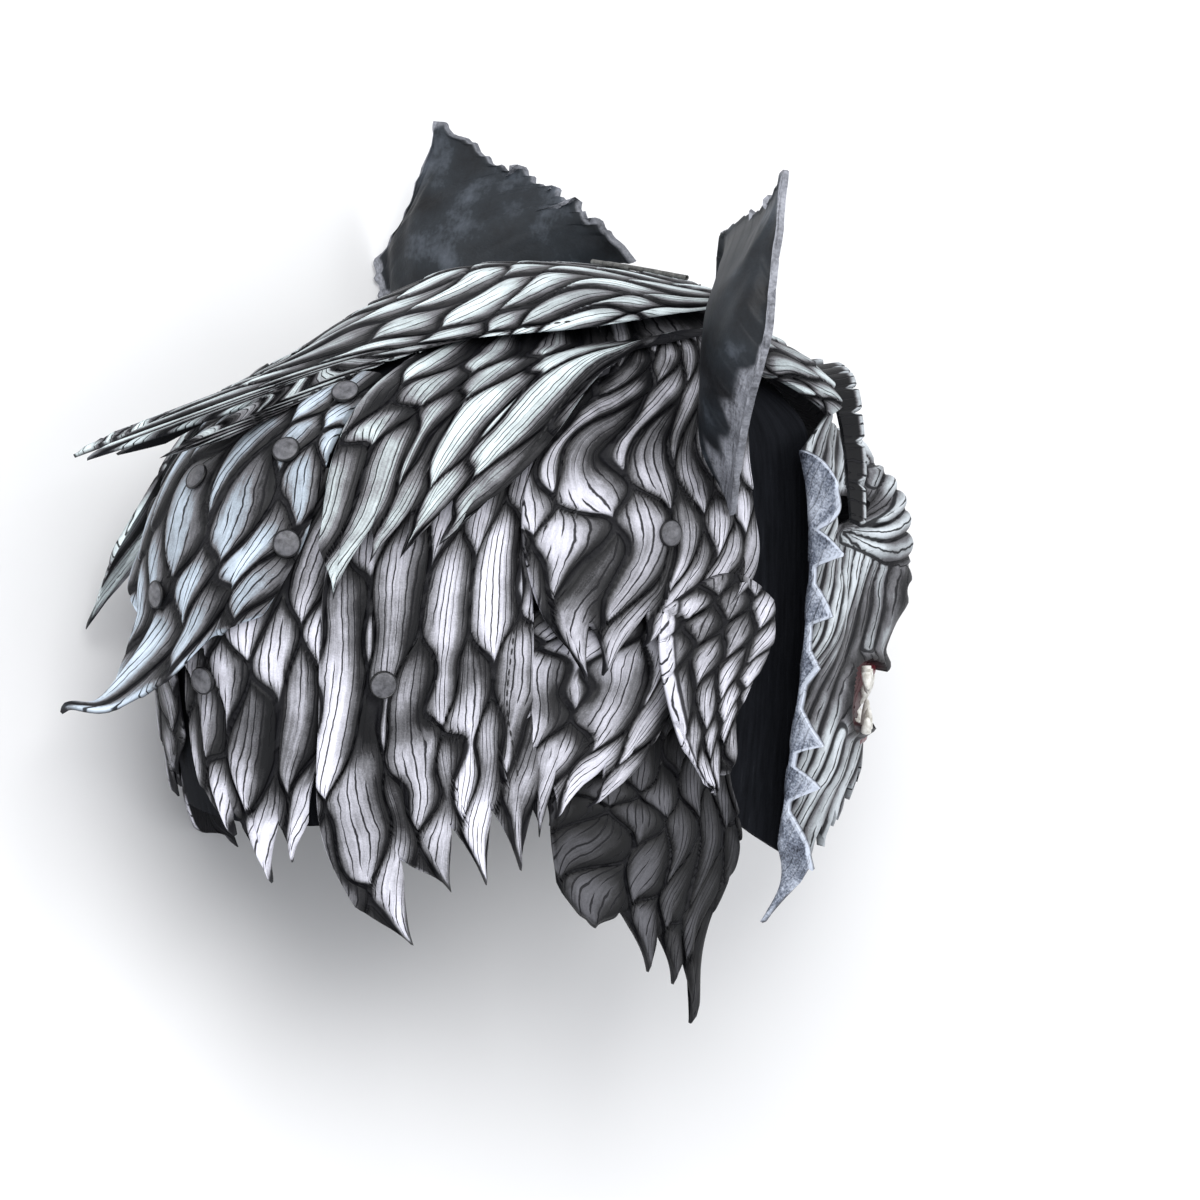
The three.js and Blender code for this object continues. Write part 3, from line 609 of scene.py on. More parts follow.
def stitches(name, outer, column, start, stop):
    """A row of short stitches along a column of a lattice of outer points, between two shares of its rows."""
    rows, columns = outer.shape[:2]
    place = column * (columns - 1)
    low = int(place)
    line = mix(outer[:, low], outer[:, low + 1], place - low)
    row = np.linspace(start, stop, 400) * (rows - 1)
    line = np.stack([np.interp(row, np.arange(rows), line[:, axis]) for axis in range(3)], -1)
    travelled = np.concatenate([[0], np.cumsum(np.linalg.norm(np.diff(line, axis=0), axis=1))])
    parts = []
    for begin in np.arange(0, travelled[-1] - STITCH_LENGTH, STITCH_PITCH):
        spots = begin + np.linspace(0, STITCH_LENGTH, len(STITCH_TAPER))
        bar = np.stack([np.interp(spots, travelled, line[:, axis]) for axis in range(3)], -1)
        parts.append((*tube(bar, STITCH_RADIUS * STITCH_TAPER, 6), 0.0))
    vertices, faces, _ = joined(parts)
    make_piece(name, vertices, faces, {}, "thread", [])


# The mane

def at_lift(lift, *spots):
    """Spots on the head, given as angle and height, at one distance off the hood."""
    return [(angle, height, lift) for angle, height in spots]


# The rear and front edges run from root to tip. tips gives the reach of each lock, notch the depth between
# them, lock_rows, slant and wave the carving. root continues a panel under the one above it: a rise and a
# lift. tuck sinks the rear edge, rounded_top rounds the root, and curl and tip_rise lift the free end off the
# head and up. pale_rim is a width in millimetres, and seam a place from the rear (0) to the front (1). left
# gives what differs on the hidden side, which the mask lies on.
PAIRED_PANELS = {
    "jaw_mane": {
        "rear": at_lift(LAYER, (89, -52), (92, -80), (93, -115), (92, -160)),
        "front": at_lift(LAYER, (61, -58), (58, -100), (50, -136), (60, -180), (58, -234)),
        "tips": (0.98, 1, 0.96, 1), "notch": 0.15, "lock_rows": 3, "slant": 0.3, "root": (30, 0),
        "material": "dark", "slot": "dark_mane_leather", "tone": -0.13, "left": {"length": 0.62},
    },
    "back_lock": {
        "rear": at_lift(6.2, (178, 12), (178.5, -35), (178, -80), (168, -140)),
        "front": at_lift(6.2, (134, 20), (136, -36), (142, -80), (149, -118)),
        "tips": (0.84, 1, 0.98), "tip_widths": (0.9, 1.3, 0.8), "notch": 0.24, "lock_rows": 1.6, "slant": 0.5,
        "root": (50, 0), "wave": 0.22, "left": {"length": 0.82},
    },
    "side_mane": {
        "rear": at_lift(2 * LAYER, (136, 50), (138, -34), (141, -108), (130, -166)),
        "front": at_lift(2 * LAYER, (98, 74), (96, 4), (96, -48), (95, -122)),
        "tips": (1, 0.95, 1, 1), "tip_widths": (1.3, 1.1, 0.75, 0.85), "notch": 0.2, "lock_rows": 1.6,
        "slant": 0.6, "wave": 0.25, "seam": 0.93, "left": {"length": 0.9},
    },
    "neck_side": {
        "rear": at_lift(2 * LAYER, (99, 0), (99, -40), (98, -112)),
        "front": at_lift(2 * LAYER, (66, -4), (76, -55), (92, -112)),
        "tips": (1, 0.95, 0.9), "notch": 0.22, "lock_rows": 1.6, "slant": 0.5, "tuck": 5,
        "material": "temple",
    },
    "temple": {
        "rear": at_lift(3 * LAYER, (90, 101), (99, 66), (98, 20), (91, -38)),
        "front": at_lift(3 * LAYER, (54, 108), (60, 60), (60, 8), (86, -38)),
        "tips": (1, 1, 0.93, 0.88, 0.8), "tip_widths": (1, 1.25, 0.8, 1.1, 0.85), "notch": 0.2,
        "lock_rows": 2.4, "slant": 0.4, "root": (18, -2), "material": "temple",
    },
    "upper_mane": {
        "rear": [(146, 112, 5.5), (144, 82, 17), (140, 44, 4 * LAYER), (139, 8, 4 * LAYER)],
        "front": at_lift(4 * LAYER, (56, 110), (85, 107), (100, 68), (116, 34)),
        "tips": (1, 0.93, 0.97, 1), "tip_widths": (1.2, 0.75, 1.0, 1.25), "notch": 0.28, "lock_rows": 1.7,
        "slant": 0.35, "root": (24, -10), "curl": 5, "seam": 0.94, "material": "top",
        "left": {
            "rear": [(146, 112, 5.5), (144, 82, 17), (141, 34, 28), (141, -27, 64)],
            "sweep": -0.05, "hollow": 26, "underside": 0.0,
        },
    },
    "cheek_flap": {
        "rear": at_lift(4 * LAYER, (80, 10), (82, -22), (78, -70), (71, -102)),
        "front": at_lift(4 * LAYER, (57, 6), (55, -28), (64, -56), (69, -102)),
        "tips": (0.96, 1, 0.9), "notch": 0.05, "lock_rows": 3.6, "slant": 0.5, "rounded_top": 0.16,
        "pale_rim": 4.5,
    },
}
BACK_PANEL = {
    "rear": [(211, 106, 6), (214, 82, 9.5), (217, 38, 2 * LAYER), (206, -6, 2 * LAYER), (188, -56, 15)],
    "front": [(149, 106, 6), (146, 82, 9.5), (143, 38, 2 * LAYER), (154, -6, 2 * LAYER), (172, -56, 15)],
    "tips": (0.72, 0.84, 1, 0.84, 0.72), "notch": 0.05, "lock_rows": 3, "curl": 62, "tip_rise": 22,
    "material": "back",
}
# What a panel has where it says nothing else.
PLAIN_PANEL = {
    "material": "side", "slot": "mane_leather", "tone": 0, "slant": 0.12, "wave": 0.12, "tip_widths": None,
    "root": None, "rounded_top": 0, "tuck": 0, "curl": 0, "tip_rise": 0, "seam": None, "pale_rim": None,
    "length": 1, "sweep": 0, "hollow": 0, "underside": 1.0, "left": {},
}
ROOT_SHARE = 0.2
LOOSE_FROM = 0.72
TIP_CURL = 6.0
TIP_HOOK = 0.3
WAVE_START = 0.8
STRAY = 0.22
PALE_RIM_TONE = 0.85
CUT_EDGE_TONE = 0.30
UNDERLAP_SHADE_TONE = -0.2
PATCH_TONE = 0.14
SEAM_WIDTH = 1.8
SEAM_HEIGHT = -0.2
SEAM_TONE = -0.15
LEFT_SINK = 0.9


def panel_place(panel, side):
    """The surface of a panel: points from shares of its width and of its length."""
    root_rise, root_lift = panel["root"] or (0, 0)

    def place(a, b, extra=0.0):
        a, b = np.broadcast_arrays(a, b)
        spot = mix(along(panel["rear"], b), along(panel["front"], b), a[..., None])
        reached = b / panel["length"]
        lift = spot[..., 2] + panel["curl"] * smooth_step(LOOSE_FROM, 1.1, reached) + extra
        above = np.maximum(-b, 0) / ROOT_SHARE
        rise = above * root_rise + panel["tip_rise"] * smooth_step(0.85, 1.0, reached) ** 2
        return head_point(spot[..., 0] * side, spot[..., 1] + rise, lift + above * root_lift)

    return place


def spans(place, top=1.0):
    """The mean width and the length of a surface, in millimetres."""
    a, b = lattice(8, 16)
    grid = place(a, b * top)
    width = np.linalg.norm(np.diff(grid, axis=1), axis=2).sum(1).mean()
    length = np.linalg.norm(np.diff(grid, axis=0), axis=2).sum(0).max()
    return width, length


def mane_panel(node, panel, side, seed):
    """A panel of mane: carved locks that end in leaf-shaped, curled tips."""
    on_left = side == LEFT
    panel = PLAIN_PANEL | panel
    if on_left:
        panel |= panel["left"]
    count, length, notch, seam = len(panel["tips"]), panel["length"], panel["notch"], panel["seam"]
    lock_rows = panel["lock_rows"]
    place = panel_place(panel, side)
    width_mm, length_mm = spans(place, length)
    top = -ROOT_SHARE if panel["root"] else 0
    columns, rows = int(width_mm / COLUMN_STEP), int(length_mm * (1 - top) / ROW_STEP)
    a, share = lattice(columns, rows, top)

    # The outline of the tips, and how they curl, sway and hook.
    borders = np.cumsum([0, *(panel["tip_widths"] or [1] * count)])
    p = np.interp(a, borders / borders[-1], np.arange(count + 1))
    tip = np.minimum(np.floor(p), count - 1)
    beside = np.clip(np.abs(p - tip - 0.5) * 2, 0, 1)
    tip_length = np.interp(p, np.arange(count) + 0.5, panel["tips"])
    leaf = 1 - notch * np.arccos(1 - 2 * beside) / np.pi
    b = share * length * np.where(share > 0, tip_length * leaf, 1)
    b = b + panel["rounded_top"] * (2 * a - 1) ** 2 * (1 - share)
    loose = smooth_step(LOOSE_FROM, 1.0, share) * (1 - beside**2)
    curl = TIP_CURL * (0.2 + chance(tip, side, seed)) * loose * (side == RIGHT)
    sway = panel["wave"] * np.sin(np.pi * (share - 1) * lock_rows + WAVE_START) * smooth_step(0.3, 0.9, share)
    hook = TIP_HOOK * (0.5 - 1.5 * chance(tip, side, seed + 1)) * loose**1.5
    sweep = panel["sweep"] * smooth_step(0.4, 1, share)
    hollow = panel["hollow"] * bump_at(a, 0.42, 0.28) * smooth_step(0.45, 0.95, share)
    sunk = panel["tuck"] * smooth_step(0.18, 0, a) + hollow
    points = place(a + (sway * (1 - beside**2) + hook) / count + sweep, b, curl - sunk)

    # The carving, whose last row of locks fills the tips.
    row_share = b / (length * tip_length)
    settle = smooth_step(1.0, 0.7, row_share)
    x_mm, y_mm = a * width_mm, b * length_mm
    last_row = 1 - 2 * notch if notch > 0.1 else 1 - 1 / lock_rows
    row_turns = np.minimum((row_share - last_row) * lock_rows, 0) - 1
    row_turns = row_turns + np.clip((row_share - last_row) / (1 - last_row), 0, 1)
    bend = panel["wave"] * np.sin(np.pi * row_turns + WAVE_START) + OGEE * np.sin(2 * np.pi * row_turns)
    bend = bend + STRAY * ripple(x_mm, y_mm, 110, seed) + panel["slant"] * row_turns
    q = row_turns + 10 + STRAY * ripple(x_mm, y_mm, 75, seed + 2) * settle
    height, fields = locks(p + bend * settle, q, width_mm / count, length_mm / lock_rows, seed)
    edge, tone = fields["edge"], fields["tone"]
    if panel["pale_rim"]:
        inside_rim = x_mm - panel["pale_rim"]
        edge = np.where(inside_rim > 0, np.sign(edge) * np.minimum(np.abs(edge), inside_rim), -inside_rim)
        tone = mix(PALE_RIM_TONE, tone, smooth_step(-1, 0.5, inside_rim))

    rim = from_rim(a, share, width_mm, length_mm * 0.4)
    # A paler cut edge, and painted shade over the top of the panel, which lies under the panel above.
    tone = tone + CUT_EDGE_TONE * smooth_step(1.4, 0.5, rim) + UNDERLAP_SHADE_TONE * smooth_step(0.14, 0, share)
    tone = tone + PATCH_TONE * ripple(x_mm, y_mm, 90, seed + 4) + panel["tone"]
    height = bevel(height, rim) - LEFT_SINK * on_left
    if seam:
        beside_seam = bump_at((a - seam) * width_mm, 0, SEAM_WIDTH)
        height = mix(height, SEAM_HEIGHT, 0.9 * beside_seam)
        tone = tone + SEAM_TONE * beside_seam
    fields |= {"edge": edge, "tone": tone, "rim": rim}
    outer = sheet(f"carved_{node}", points, height, fields, panel["material"], [node],
                  underside=panel["underside"], flipped=on_left)
    if seam:
        stitches(f"stitches_{node}", outer, 1 - seam if on_left else seam, 0.3, 0.86)


seed = 10
for side_name, side in SIDES:
    for panel_name, panel in PAIRED_PANELS.items():
        seed += 7
        mane_panel(f"{panel_name}_{side_name}", panel, side, seed)
mane_panel("back_panel", BACK_PANEL, RIGHT, 5)


# The roof of the mane

CROWN_RIDGE = [
    (37, 0, 135), (-18, 0, 146), (-66, 0, 149), (-119, 0, 137), (-176, 0, 119), (-233, 0, 102), (-322, 0, 80),
]
CROWN_EDGE = [
    (3, 67, 132), (-34, 73, 131), (-72, 74, 129), (-101, 63, 127), (-132, 48, 124), (-168, 31, 114),
    (-223, 20, 91), (-296, 18, 64),
]
CROWN_REACH = (0.93, 0.97, 0.86, 1, 0.9, 1, 0.84, 0.96, 0.9)
CROWN_LOCK_MM = 21
CROWN_ROWS = 4.5
CROWN_RAISE = 1.8


def arch_point(middle, edge, across, edge_share):
    """A point on an arch over the head, from its middle (0) to its edges (-1 and 1)."""
    turn = np.abs(across) * np.pi / 2
    return worn(
        mix(middle[..., 0], edge[..., 0], edge_share),
        np.sign(across) * edge[..., 1] * np.sin(turn),
        mix(edge[..., 2], middle[..., 2], np.cos(turn)),
    )


def crown_point(across, share):
    return arch_point(along(CROWN_RIDGE, share), along(CROWN_EDGE, share), across, np.abs(across))


def crown_panel():
    def place(a, b):
        return crown_point(2 * a - 1, b)

    width_mm, length_mm = spans(place)
    columns, rows = int(width_mm * 1.3 / COLUMN_STEP), int(length_mm / ROW_STEP)
    a, share = lattice(columns, rows)
    reach = np.interp(a, np.linspace(0, 1, len(CROWN_REACH)), CROWN_REACH)
    b = share * mix(1, reach, smooth_step(0.4, 1.0, share))
    points = place(a, b)
    x_mm, y_mm = (a - 0.5) * width_mm, b * length_mm
    local_width = np.linalg.norm(np.diff(points, axis=1), axis=2).sum(1)[:, None]
    p = (a - 0.5) * local_width / CROWN_LOCK_MM + 0.3 * ripple(x_mm, y_mm, 110, 71)
    q = b * CROWN_ROWS + 0.25 * ripple(x_mm, y_mm, 80, 72)
    height, fields = locks(p, q, CROWN_LOCK_MM, length_mm / CROWN_ROWS, 73)
    rim = from_rim(a, share, width_mm, length_mm * 0.5)
    tail_flanks = smooth_step(0.45, 0.9, share) * np.abs(2 * a - 1)
    fields["tone"] = fields["tone"] + 0.1 + 0.25 * smooth_step(1.6, 0.5, rim) - 0.35 * tail_flanks
    fields["rim"] = rim
    height = bevel(height * mix(0.3, 1, smooth_step(25, 90, local_width)), rim)
    points = points + CROWN_RAISE * worn(0, 0, 1)
    outer = sheet("carved_crown", points, height, fields, "top", ["crown_panel"])
    for column in (0.05, 0.95):
        stitches(f"stitches_crown_{int(column * 100)}", outer, column, 0.35, 0.9)


crown_panel()


# The hood

HOOD_COLUMNS = 120
HOOD_ROWS = 60
OPENING_TRIM = 6
OPENING_TOP = 80


def hood():
    share = 1 - (1 - np.linspace(0, 0.9999, HOOD_ROWS + 1)) ** 1.6
    a, share = np.meshgrid(np.arange(HOOD_COLUMNS) / HOOD_COLUMNS, share)
    angle = 360 * a
    turn = np.minimum(angle, 360 - angle)
    hem = mix(FRONT_HEM, BACK_HEM, (1 - np.cos(np.radians(angle))) / 2)
    hem = hem - THROAT_DROP * smooth_step(LINER_ANGLE + 14, OPENING_ANGLE, turn)
    height = mix(hem, CROWN_HEIGHT, share)
    points = hood_point(angle, height)
    forward = smooth_step(LINER_ANGLE, OPENING_ANGLE, turn) * smooth_step(LINER_TOP + 40, LINER_TOP, height)
    liner = worn(LINER_EDGE[0], -np.sign(points[..., 1]) * LINER_EDGE[1], height)
    points = mix(points, liner, forward[..., None])
    middle = (np.arange(HOOD_COLUMNS) + 0.5) * 360 / HOOD_COLUMNS
    beside = np.minimum(middle, 360 - middle) >= OPENING_ANGLE - OPENING_TRIM
    fields = {"hair": angle * 0.8, "grow": height / 30}
    sheet("hood_shell", points, np.zeros(height.shape), fields, "hood", ["hood"],
          thickness=HOOD_WALL, kept=beside[None, :] | (height[:-1, :1] > OPENING_TOP), ring=True)


hood()


# The ears

EAR_BASE = [
    (32, 121, 26), (53, 115, 33), (65, 107, 33), (74, 91, 28), (75, 68, 22), (70, 46, 21), (66, 34, 21),
]
EAR_INNER_EDGE = [(25, 34, 139), (14, 55, 167), (11, 86, 181), (0, 115, 192), (-15, 145, 209)]
EAR_OUTER_EDGE = [
    (-2, 103, 36), (-22, 140, 72), (-34, 165, 104), (-35, 173, 132), (-28, 160, 165), (-18, 150, 209),
]
EAR_COLUMNS = 84
EAR_ROWS = 150
EAR_LEATHER = 3
EAR_BULGE = 14
EAR_CREASE = 1.6
EAR_JAG = 5.5
# How many thorns the torn edges have, large and small, and the share of each kind in their depth.
EAR_THORNS = ((5.5, 0.7), (15, 0.3))
THORN_PEAK = 0.7
EAR_CURL = 9
EAR_WIDTH = 110
EAR_LENGTH = 180
# The width of the pale rolled edge, at the root and at the tip.
ROLL_WIDTHS = (24, 3)


def torn_edge(b, seed):
    """How deep the torn edges are cut in, as a share of the jag, along the ear."""
    depth = 0
    for count, weight in EAR_THORNS:
        place = (b * count + 0.3 * np.sin(7 * b + seed)) % 1
        thorn = 1 - np.abs(place - THORN_PEAK) / np.where(place < THORN_PEAK, 0.5, 0.14)
        depth = depth + weight * (1 - np.maximum(thorn, 0))
    return depth * smooth_step(0.05, 0.2, b) * smooth_step(1.0, 0.93, b)


def ear(side, node, seed):
    a, b = lattice(EAR_COLUMNS, EAR_ROWS)
    inner, outer = (along([worn(forward, right * side, up) for forward, right, up in edge], b)
                    for edge in (EAR_INNER_EDGE, EAR_OUTER_EDGE))
    width = np.linalg.norm(outer - inner, axis=-1)
    inset = np.minimum(EAR_JAG * torn_edge(b, seed) / width, 0.2)
    across = mix(inset, 1 - inset, a)
    points = mix(inner, outer, across[..., None])
    base_spot = along(EAR_BASE, a)
    base = head_point(base_spot[..., 0] * side, base_spot[..., 1], base_spot[..., 2])
    straight = mix(inner[:1], outer[:1], a[..., None])
    points = points + (base - straight) * ((1 - b) ** 1.3)[..., None]
    bulge = np.sin(np.pi * across) * np.sin(np.pi * np.minimum(b * 1.15, 1))
    crease = bump_at(across, 0.42 + 0.1 * b, 0.07) - 0.8 * bump_at(across, 0.68 - 0.2 * b, 0.06)
    points[..., 0] -= EAR_BULGE * bulge + EAR_CREASE * crease * np.sin(np.pi * b)
    points[..., 0] -= EAR_CURL * smooth_step(0.8, 1.0, across) ** 2 * np.sin(np.pi * np.minimum(b + 0.12, 1))

    x_mm, y_mm = a * EAR_WIDTH, b * EAR_LENGTH
    relief = 0.7 * ripple(x_mm, y_mm, 60, seed) + 0.15 * ripple(x_mm, y_mm, 22, seed + 1)
    rim = from_rim(a, b, width, 60)
    relief = relief * smooth_step(0, 6, rim) + 0.9 * bump_at(rim, 2.2, 1.4) - BEVEL * smooth_step(1.2, 0, rim)
    roll_width = mix(*ROLL_WIDTHS, smooth_step(0.22, 0.72, b))
    roll_width = roll_width * (1 + 0.35 * ripple(y_mm, 0 * b, 22, seed + 3))
    rolled = smooth_step(1.1 * roll_width, 0.8 * roll_width, (1 - a) * width)
    fields = {"rim": rim, "rolled": rolled, "hair": x_mm / 3 + 20, "grow": b * 2 + 0.02 * x_mm}
    sheet(f"torn_{node}", points, relief, fields, "ear", [node], EAR_LEATHER,
          flipped=side == RIGHT)


for side_name, side in SIDES:
    ear(side, f"ear_{side_name}", 30 + side)


# The face

FACE_UP = np.array([-200, -162, -135, -105, -82, -58, -33, 0, 20, 40, 60, 84])
FACE_SHAPE = {
    "half_width": (56, 60, 68, 73, 76, 78, 79, 79, 78, 76, 72, 63),
    "rim": (44, 47, 46, 46, 47, 50, 52, 55, 56, 56, 54, 50),
    "cheek": (74, 88, 106, 110, 110, 107, 104, 99, 95, 95, 94, 90),
    "middle": (80, 102, 136, 143, 147, 160, 174, 175, 168, 152, 120, 96),
    "snout": (26, 28, 30, 32, 33, 32, 30, 26, 24, 25, 32, 60),
}
LEVEL_ROUNDING = (-7, -3, 3, 7)
FACE_TOP = 84
FACE_SIDE_DROP = 24
CHIN = -108
CHIN_SIDE = -146
# The rows of the face are spaced as for a long chin, and drawn together below the mouth.
LONG_CHIN = -158
BELOW_MOUTH = -102
FRINGE_DOWN = 14
FRINGE_UP = 3
CORNER_TIP = 38
HOOK_BEND = 7
HOOK_TOP = -140
HOOK_LENGTH = 44
EYE = {"right": 33, "up": 19, "half_width": 15, "half_height": 8}
EYE_SOCKET = 9
BROW_BULGE = 5
MOUTH = {"right": 0, "up": -83, "half_width": 38, "half_height": 17}
MOUTH_CORNER = {"right": 40, "up": -75, "half_width": 22, "half_height": 17}
FLAP_FORWARD = 9
FLAP_OUTWARD = 17
FLAP_DROOP = 6
FLAP_BEND = 4
FLAP_TONE = 0.35
# The torn flaps of the rim: the heights of their top, tip and bottom, their reach and their roundness.
FLAPS = (
    (60, 50, 21, 0.9, 0.45), (23, 14, 1, 0.85, 1), (-4, -19, -27, 0.6, 0.8), (-35, -47, -61, 0.35, 0.9),
    (-66, -83, -92, 0.65, 0.9), (-97, -103, -118, 0.8, 1), (-120, -148, -178, 0.85, 0.6),
)
LEAST_REACH = 0.12
FOLD_ORIGIN = (106, 11)
FAN_DEGREES = 19
BRIDGE_MM = 8
STRAND_MM = 6.8
FOLD_HEIGHT = 1.9
FAN_FOLD_HEIGHT = 3.8
LIP_HEIGHT = 4.5
LID_HEIGHT = 1.5
NOSE_HEIGHT = 2.0
NOSTRIL_DEPTH = 3.6
CORNER_DEPTH = 1.6
FACE_CELLS = 30
COLUMNS_PER_CELL = 6
FLAP_COLUMNS = 14
FACE_LEVELS = 14
ROWS_PER_LEVEL = 11


def face_level(up, key):
    """A measure of the face at a height, rounded over the levels that it is given at."""
    nearby = [np.interp(up + offset, FACE_UP, FACE_SHAPE[key]) for offset in LEVEL_ROUNDING]
    return sum(nearby) / len(nearby)


def face_point(across, up):
    half_width = face_level(up, "half_width")
    right = half_width * np.sin(across * np.pi / 2)
    beside = np.abs(right)
    rounded = np.sqrt(1 - np.minimum(beside / half_width, 1) ** 2.6)
    cheek = mix(face_level(up, "rim"), face_level(up, "cheek"), rounded)
    snout = np.exp(-((beside / face_level(up, "snout")) ** 2.4))
    socket = EYE_SOCKET * bump_at(beside, EYE["right"], 17) * bump_at(up, EYE["up"], 12)
    brow = BROW_BULGE * bump_at(up, 44, 10) * bump_at(beside, 34, 22)
    forward = mix(cheek, np.maximum(face_level(up, "middle"), cheek), snout) - socket + brow
    return worn(forward, right, up)


def oval_share(hole, right, up):
    """Below 1 inside an oval hole, above 1 outside it."""
    across = (np.abs(right) - hole["right"]) / hole["half_width"]
    return np.hypot(across, (up - hole["up"]) / hole["half_height"])


def face_carving(up, points):
    """Folds that fan out from the corner of the eye to the snout, and slant down the cheek and the chin."""
    forward, right = points[..., 0], np.abs(points[..., 1])
    across = 0.82 * forward + 0.57 * right
    warp = ripple(across, up, 70, 81) + 0.2 * ripple(across, up, 24, 82)
    ahead, above = across - FOLD_ORIGIN[0], up - FOLD_ORIGIN[1]
    distance = np.hypot(ahead, above)
    fan = (np.degrees(np.arctan2(above, ahead)) - 0.6 * distance) / FAN_DEGREES + 0.25 * warp
    bridge = (0.85 * across + 0.53 * up) / BRIDGE_MM + 0.9 * warp
    slanted = (0.91 * across - 0.41 * up) / STRAND_MM + 0.55 * warp
    fan_depth = np.minimum(np.minimum(above + 6 + 0.57 * ahead, 26 - above), ahead - 3) + 2 * warp
    bridge_depth = np.minimum(above - 26, ahead - 3) + 2 * warp
    kinds = [fan_depth > 0, bridge_depth > 0]
    phase = np.select(kinds, [fan + 12, bridge + 30], slanted)
    broad = np.select(kinds, [np.radians(FAN_DEGREES) * distance, BRIDGE_MM], STRAND_MM)
    fold = np.sin(np.pi * phase)
    quiet = smooth_step(0.1, 0.7, ripple(across, up, 34, 86))
    edge = fold * broad / np.pi + np.sign(fold) * 0.8 * quiet
    border = np.where(np.abs(fan_depth) < np.abs(bridge_depth), fan_depth, bridge_depth)
    luck = chance(np.floor(phase), 0, 83)
    folds = ripple(0.9 * across - 0.5 * up, up * 0.3, 30, 84)
    raised = mix(FOLD_HEIGHT, FAN_FOLD_HEIGHT, smooth_step(-3, 3, np.maximum(fan_depth, bridge_depth)))
    raised = raised * np.abs(fold) ** 0.65 * (1 - 0.4 * quiet) * smooth_step(0, 3, np.abs(border))
    height = raised + 1.8 * folds - 1.4
    # Painted highlight on the ridges of the folds and on the large swells, and painted shade in the creases;
    # lighter above and darker lower down.
    tone = 0.23 + 0.53 * np.abs(fold) ** 0.8 + 0.22 * (luck - 0.5) + 0.2 * folds
    tone = tone + mix(-0.07, 0.1, smooth_step(-45, 5, up))

    mouth, corner = oval_share(MOUTH, right, up), oval_share(MOUTH_CORNER, right, up)
    lips = bump_at(np.maximum(np.minimum(mouth, corner) - 1, 0), 0, 0.2) * (corner >= 1)
    corner_inside = smooth_step(1.05, 0.9, corner)
    lids = bump_at(np.maximum(oval_share(EYE, right, up) - 1, 0), 0, 0.35)
    snout = smooth_step(120, 140, forward)
    nose = bump_at(up, -32, 12) * smooth_step(21, 15, right) * snout
    nostril = np.exp(-(np.hypot((right - 8) / 5, (up + 31) / 4.0)) ** 4) * snout
    smooth = np.clip(nose + lips + lids + corner_inside, 0, 1)
    height = height * (1 - smooth) + LIP_HEIGHT * lips + LID_HEIGHT * lids + NOSE_HEIGHT * nose
    height = height - NOSTRIL_DEPTH * nostril - CORNER_DEPTH * corner_inside
    tone = tone * (1 - 0.85 * nose) * (1 - 0.85 * lips) * (1 - 0.7 * lids) * (1 - corner_inside) - nostril
    return height, {
        "edge": edge * (1 - smooth) + 6 * smooth, "border": border + NO_BORDER * np.sign(border) * smooth,
        "hair": 2 * phase + 80.5, "grow": (forward * 0.5 + up * 0.86) / 45, "lock": luck, "tone": tone,
        "red": corner_inside,
    }


def flap_reach(up):
    """How far the torn flaps stand out from the rim of the face, as a share, at a height."""
    reach = np.full(up.shape, LEAST_REACH)
    for top, tip, bottom, length, roundness in FLAPS:
        above = np.clip((top - up) / (top - tip), 0, 1)
        below = np.clip((up - bottom) / (tip - bottom), 0, 1)
        reach = np.maximum(reach, length * np.minimum(above, below) ** roundness)
    return reach


def face_rows(across, beyond, level):
    """The heights of the face's lattice, down to the ragged chin and the hooked tips at its corners."""
    cell = (across + 1) * FACE_CELLS / 2
    teeth = np.abs((cell % 2) - 1)
    fringe = mix(-FRINGE_DOWN * (0.7 + 0.6 * chance(np.floor(cell / 2), 0, 3)), FRINGE_UP, teeth**0.7)
    from_corner = np.where(beyond > 0, beyond * 1.2, 0.73 * np.minimum(cell, FACE_CELLS - cell))
    hook = -CORNER_TIP * np.clip(1 - from_corner, 0, 1) ** 1.3
    long_bottom = mix(LONG_CHIN, CHIN_SIDE, across**2)
    drawn = (BELOW_MOUTH - mix(CHIN, CHIN_SIDE, np.abs(across))) / (BELOW_MOUTH - long_bottom)
    even = mix(FACE_TOP - FACE_SIDE_DROP * across**2, long_bottom, level / FACE_LEVELS)
    even = np.where(even < BELOW_MOUTH, mix(BELOW_MOUTH, even, drawn), even)
    return even + (fringe * (beyond <= 0) + hook) * smooth_step(0.82, 1.0, level / FACE_LEVELS) ** 1.5


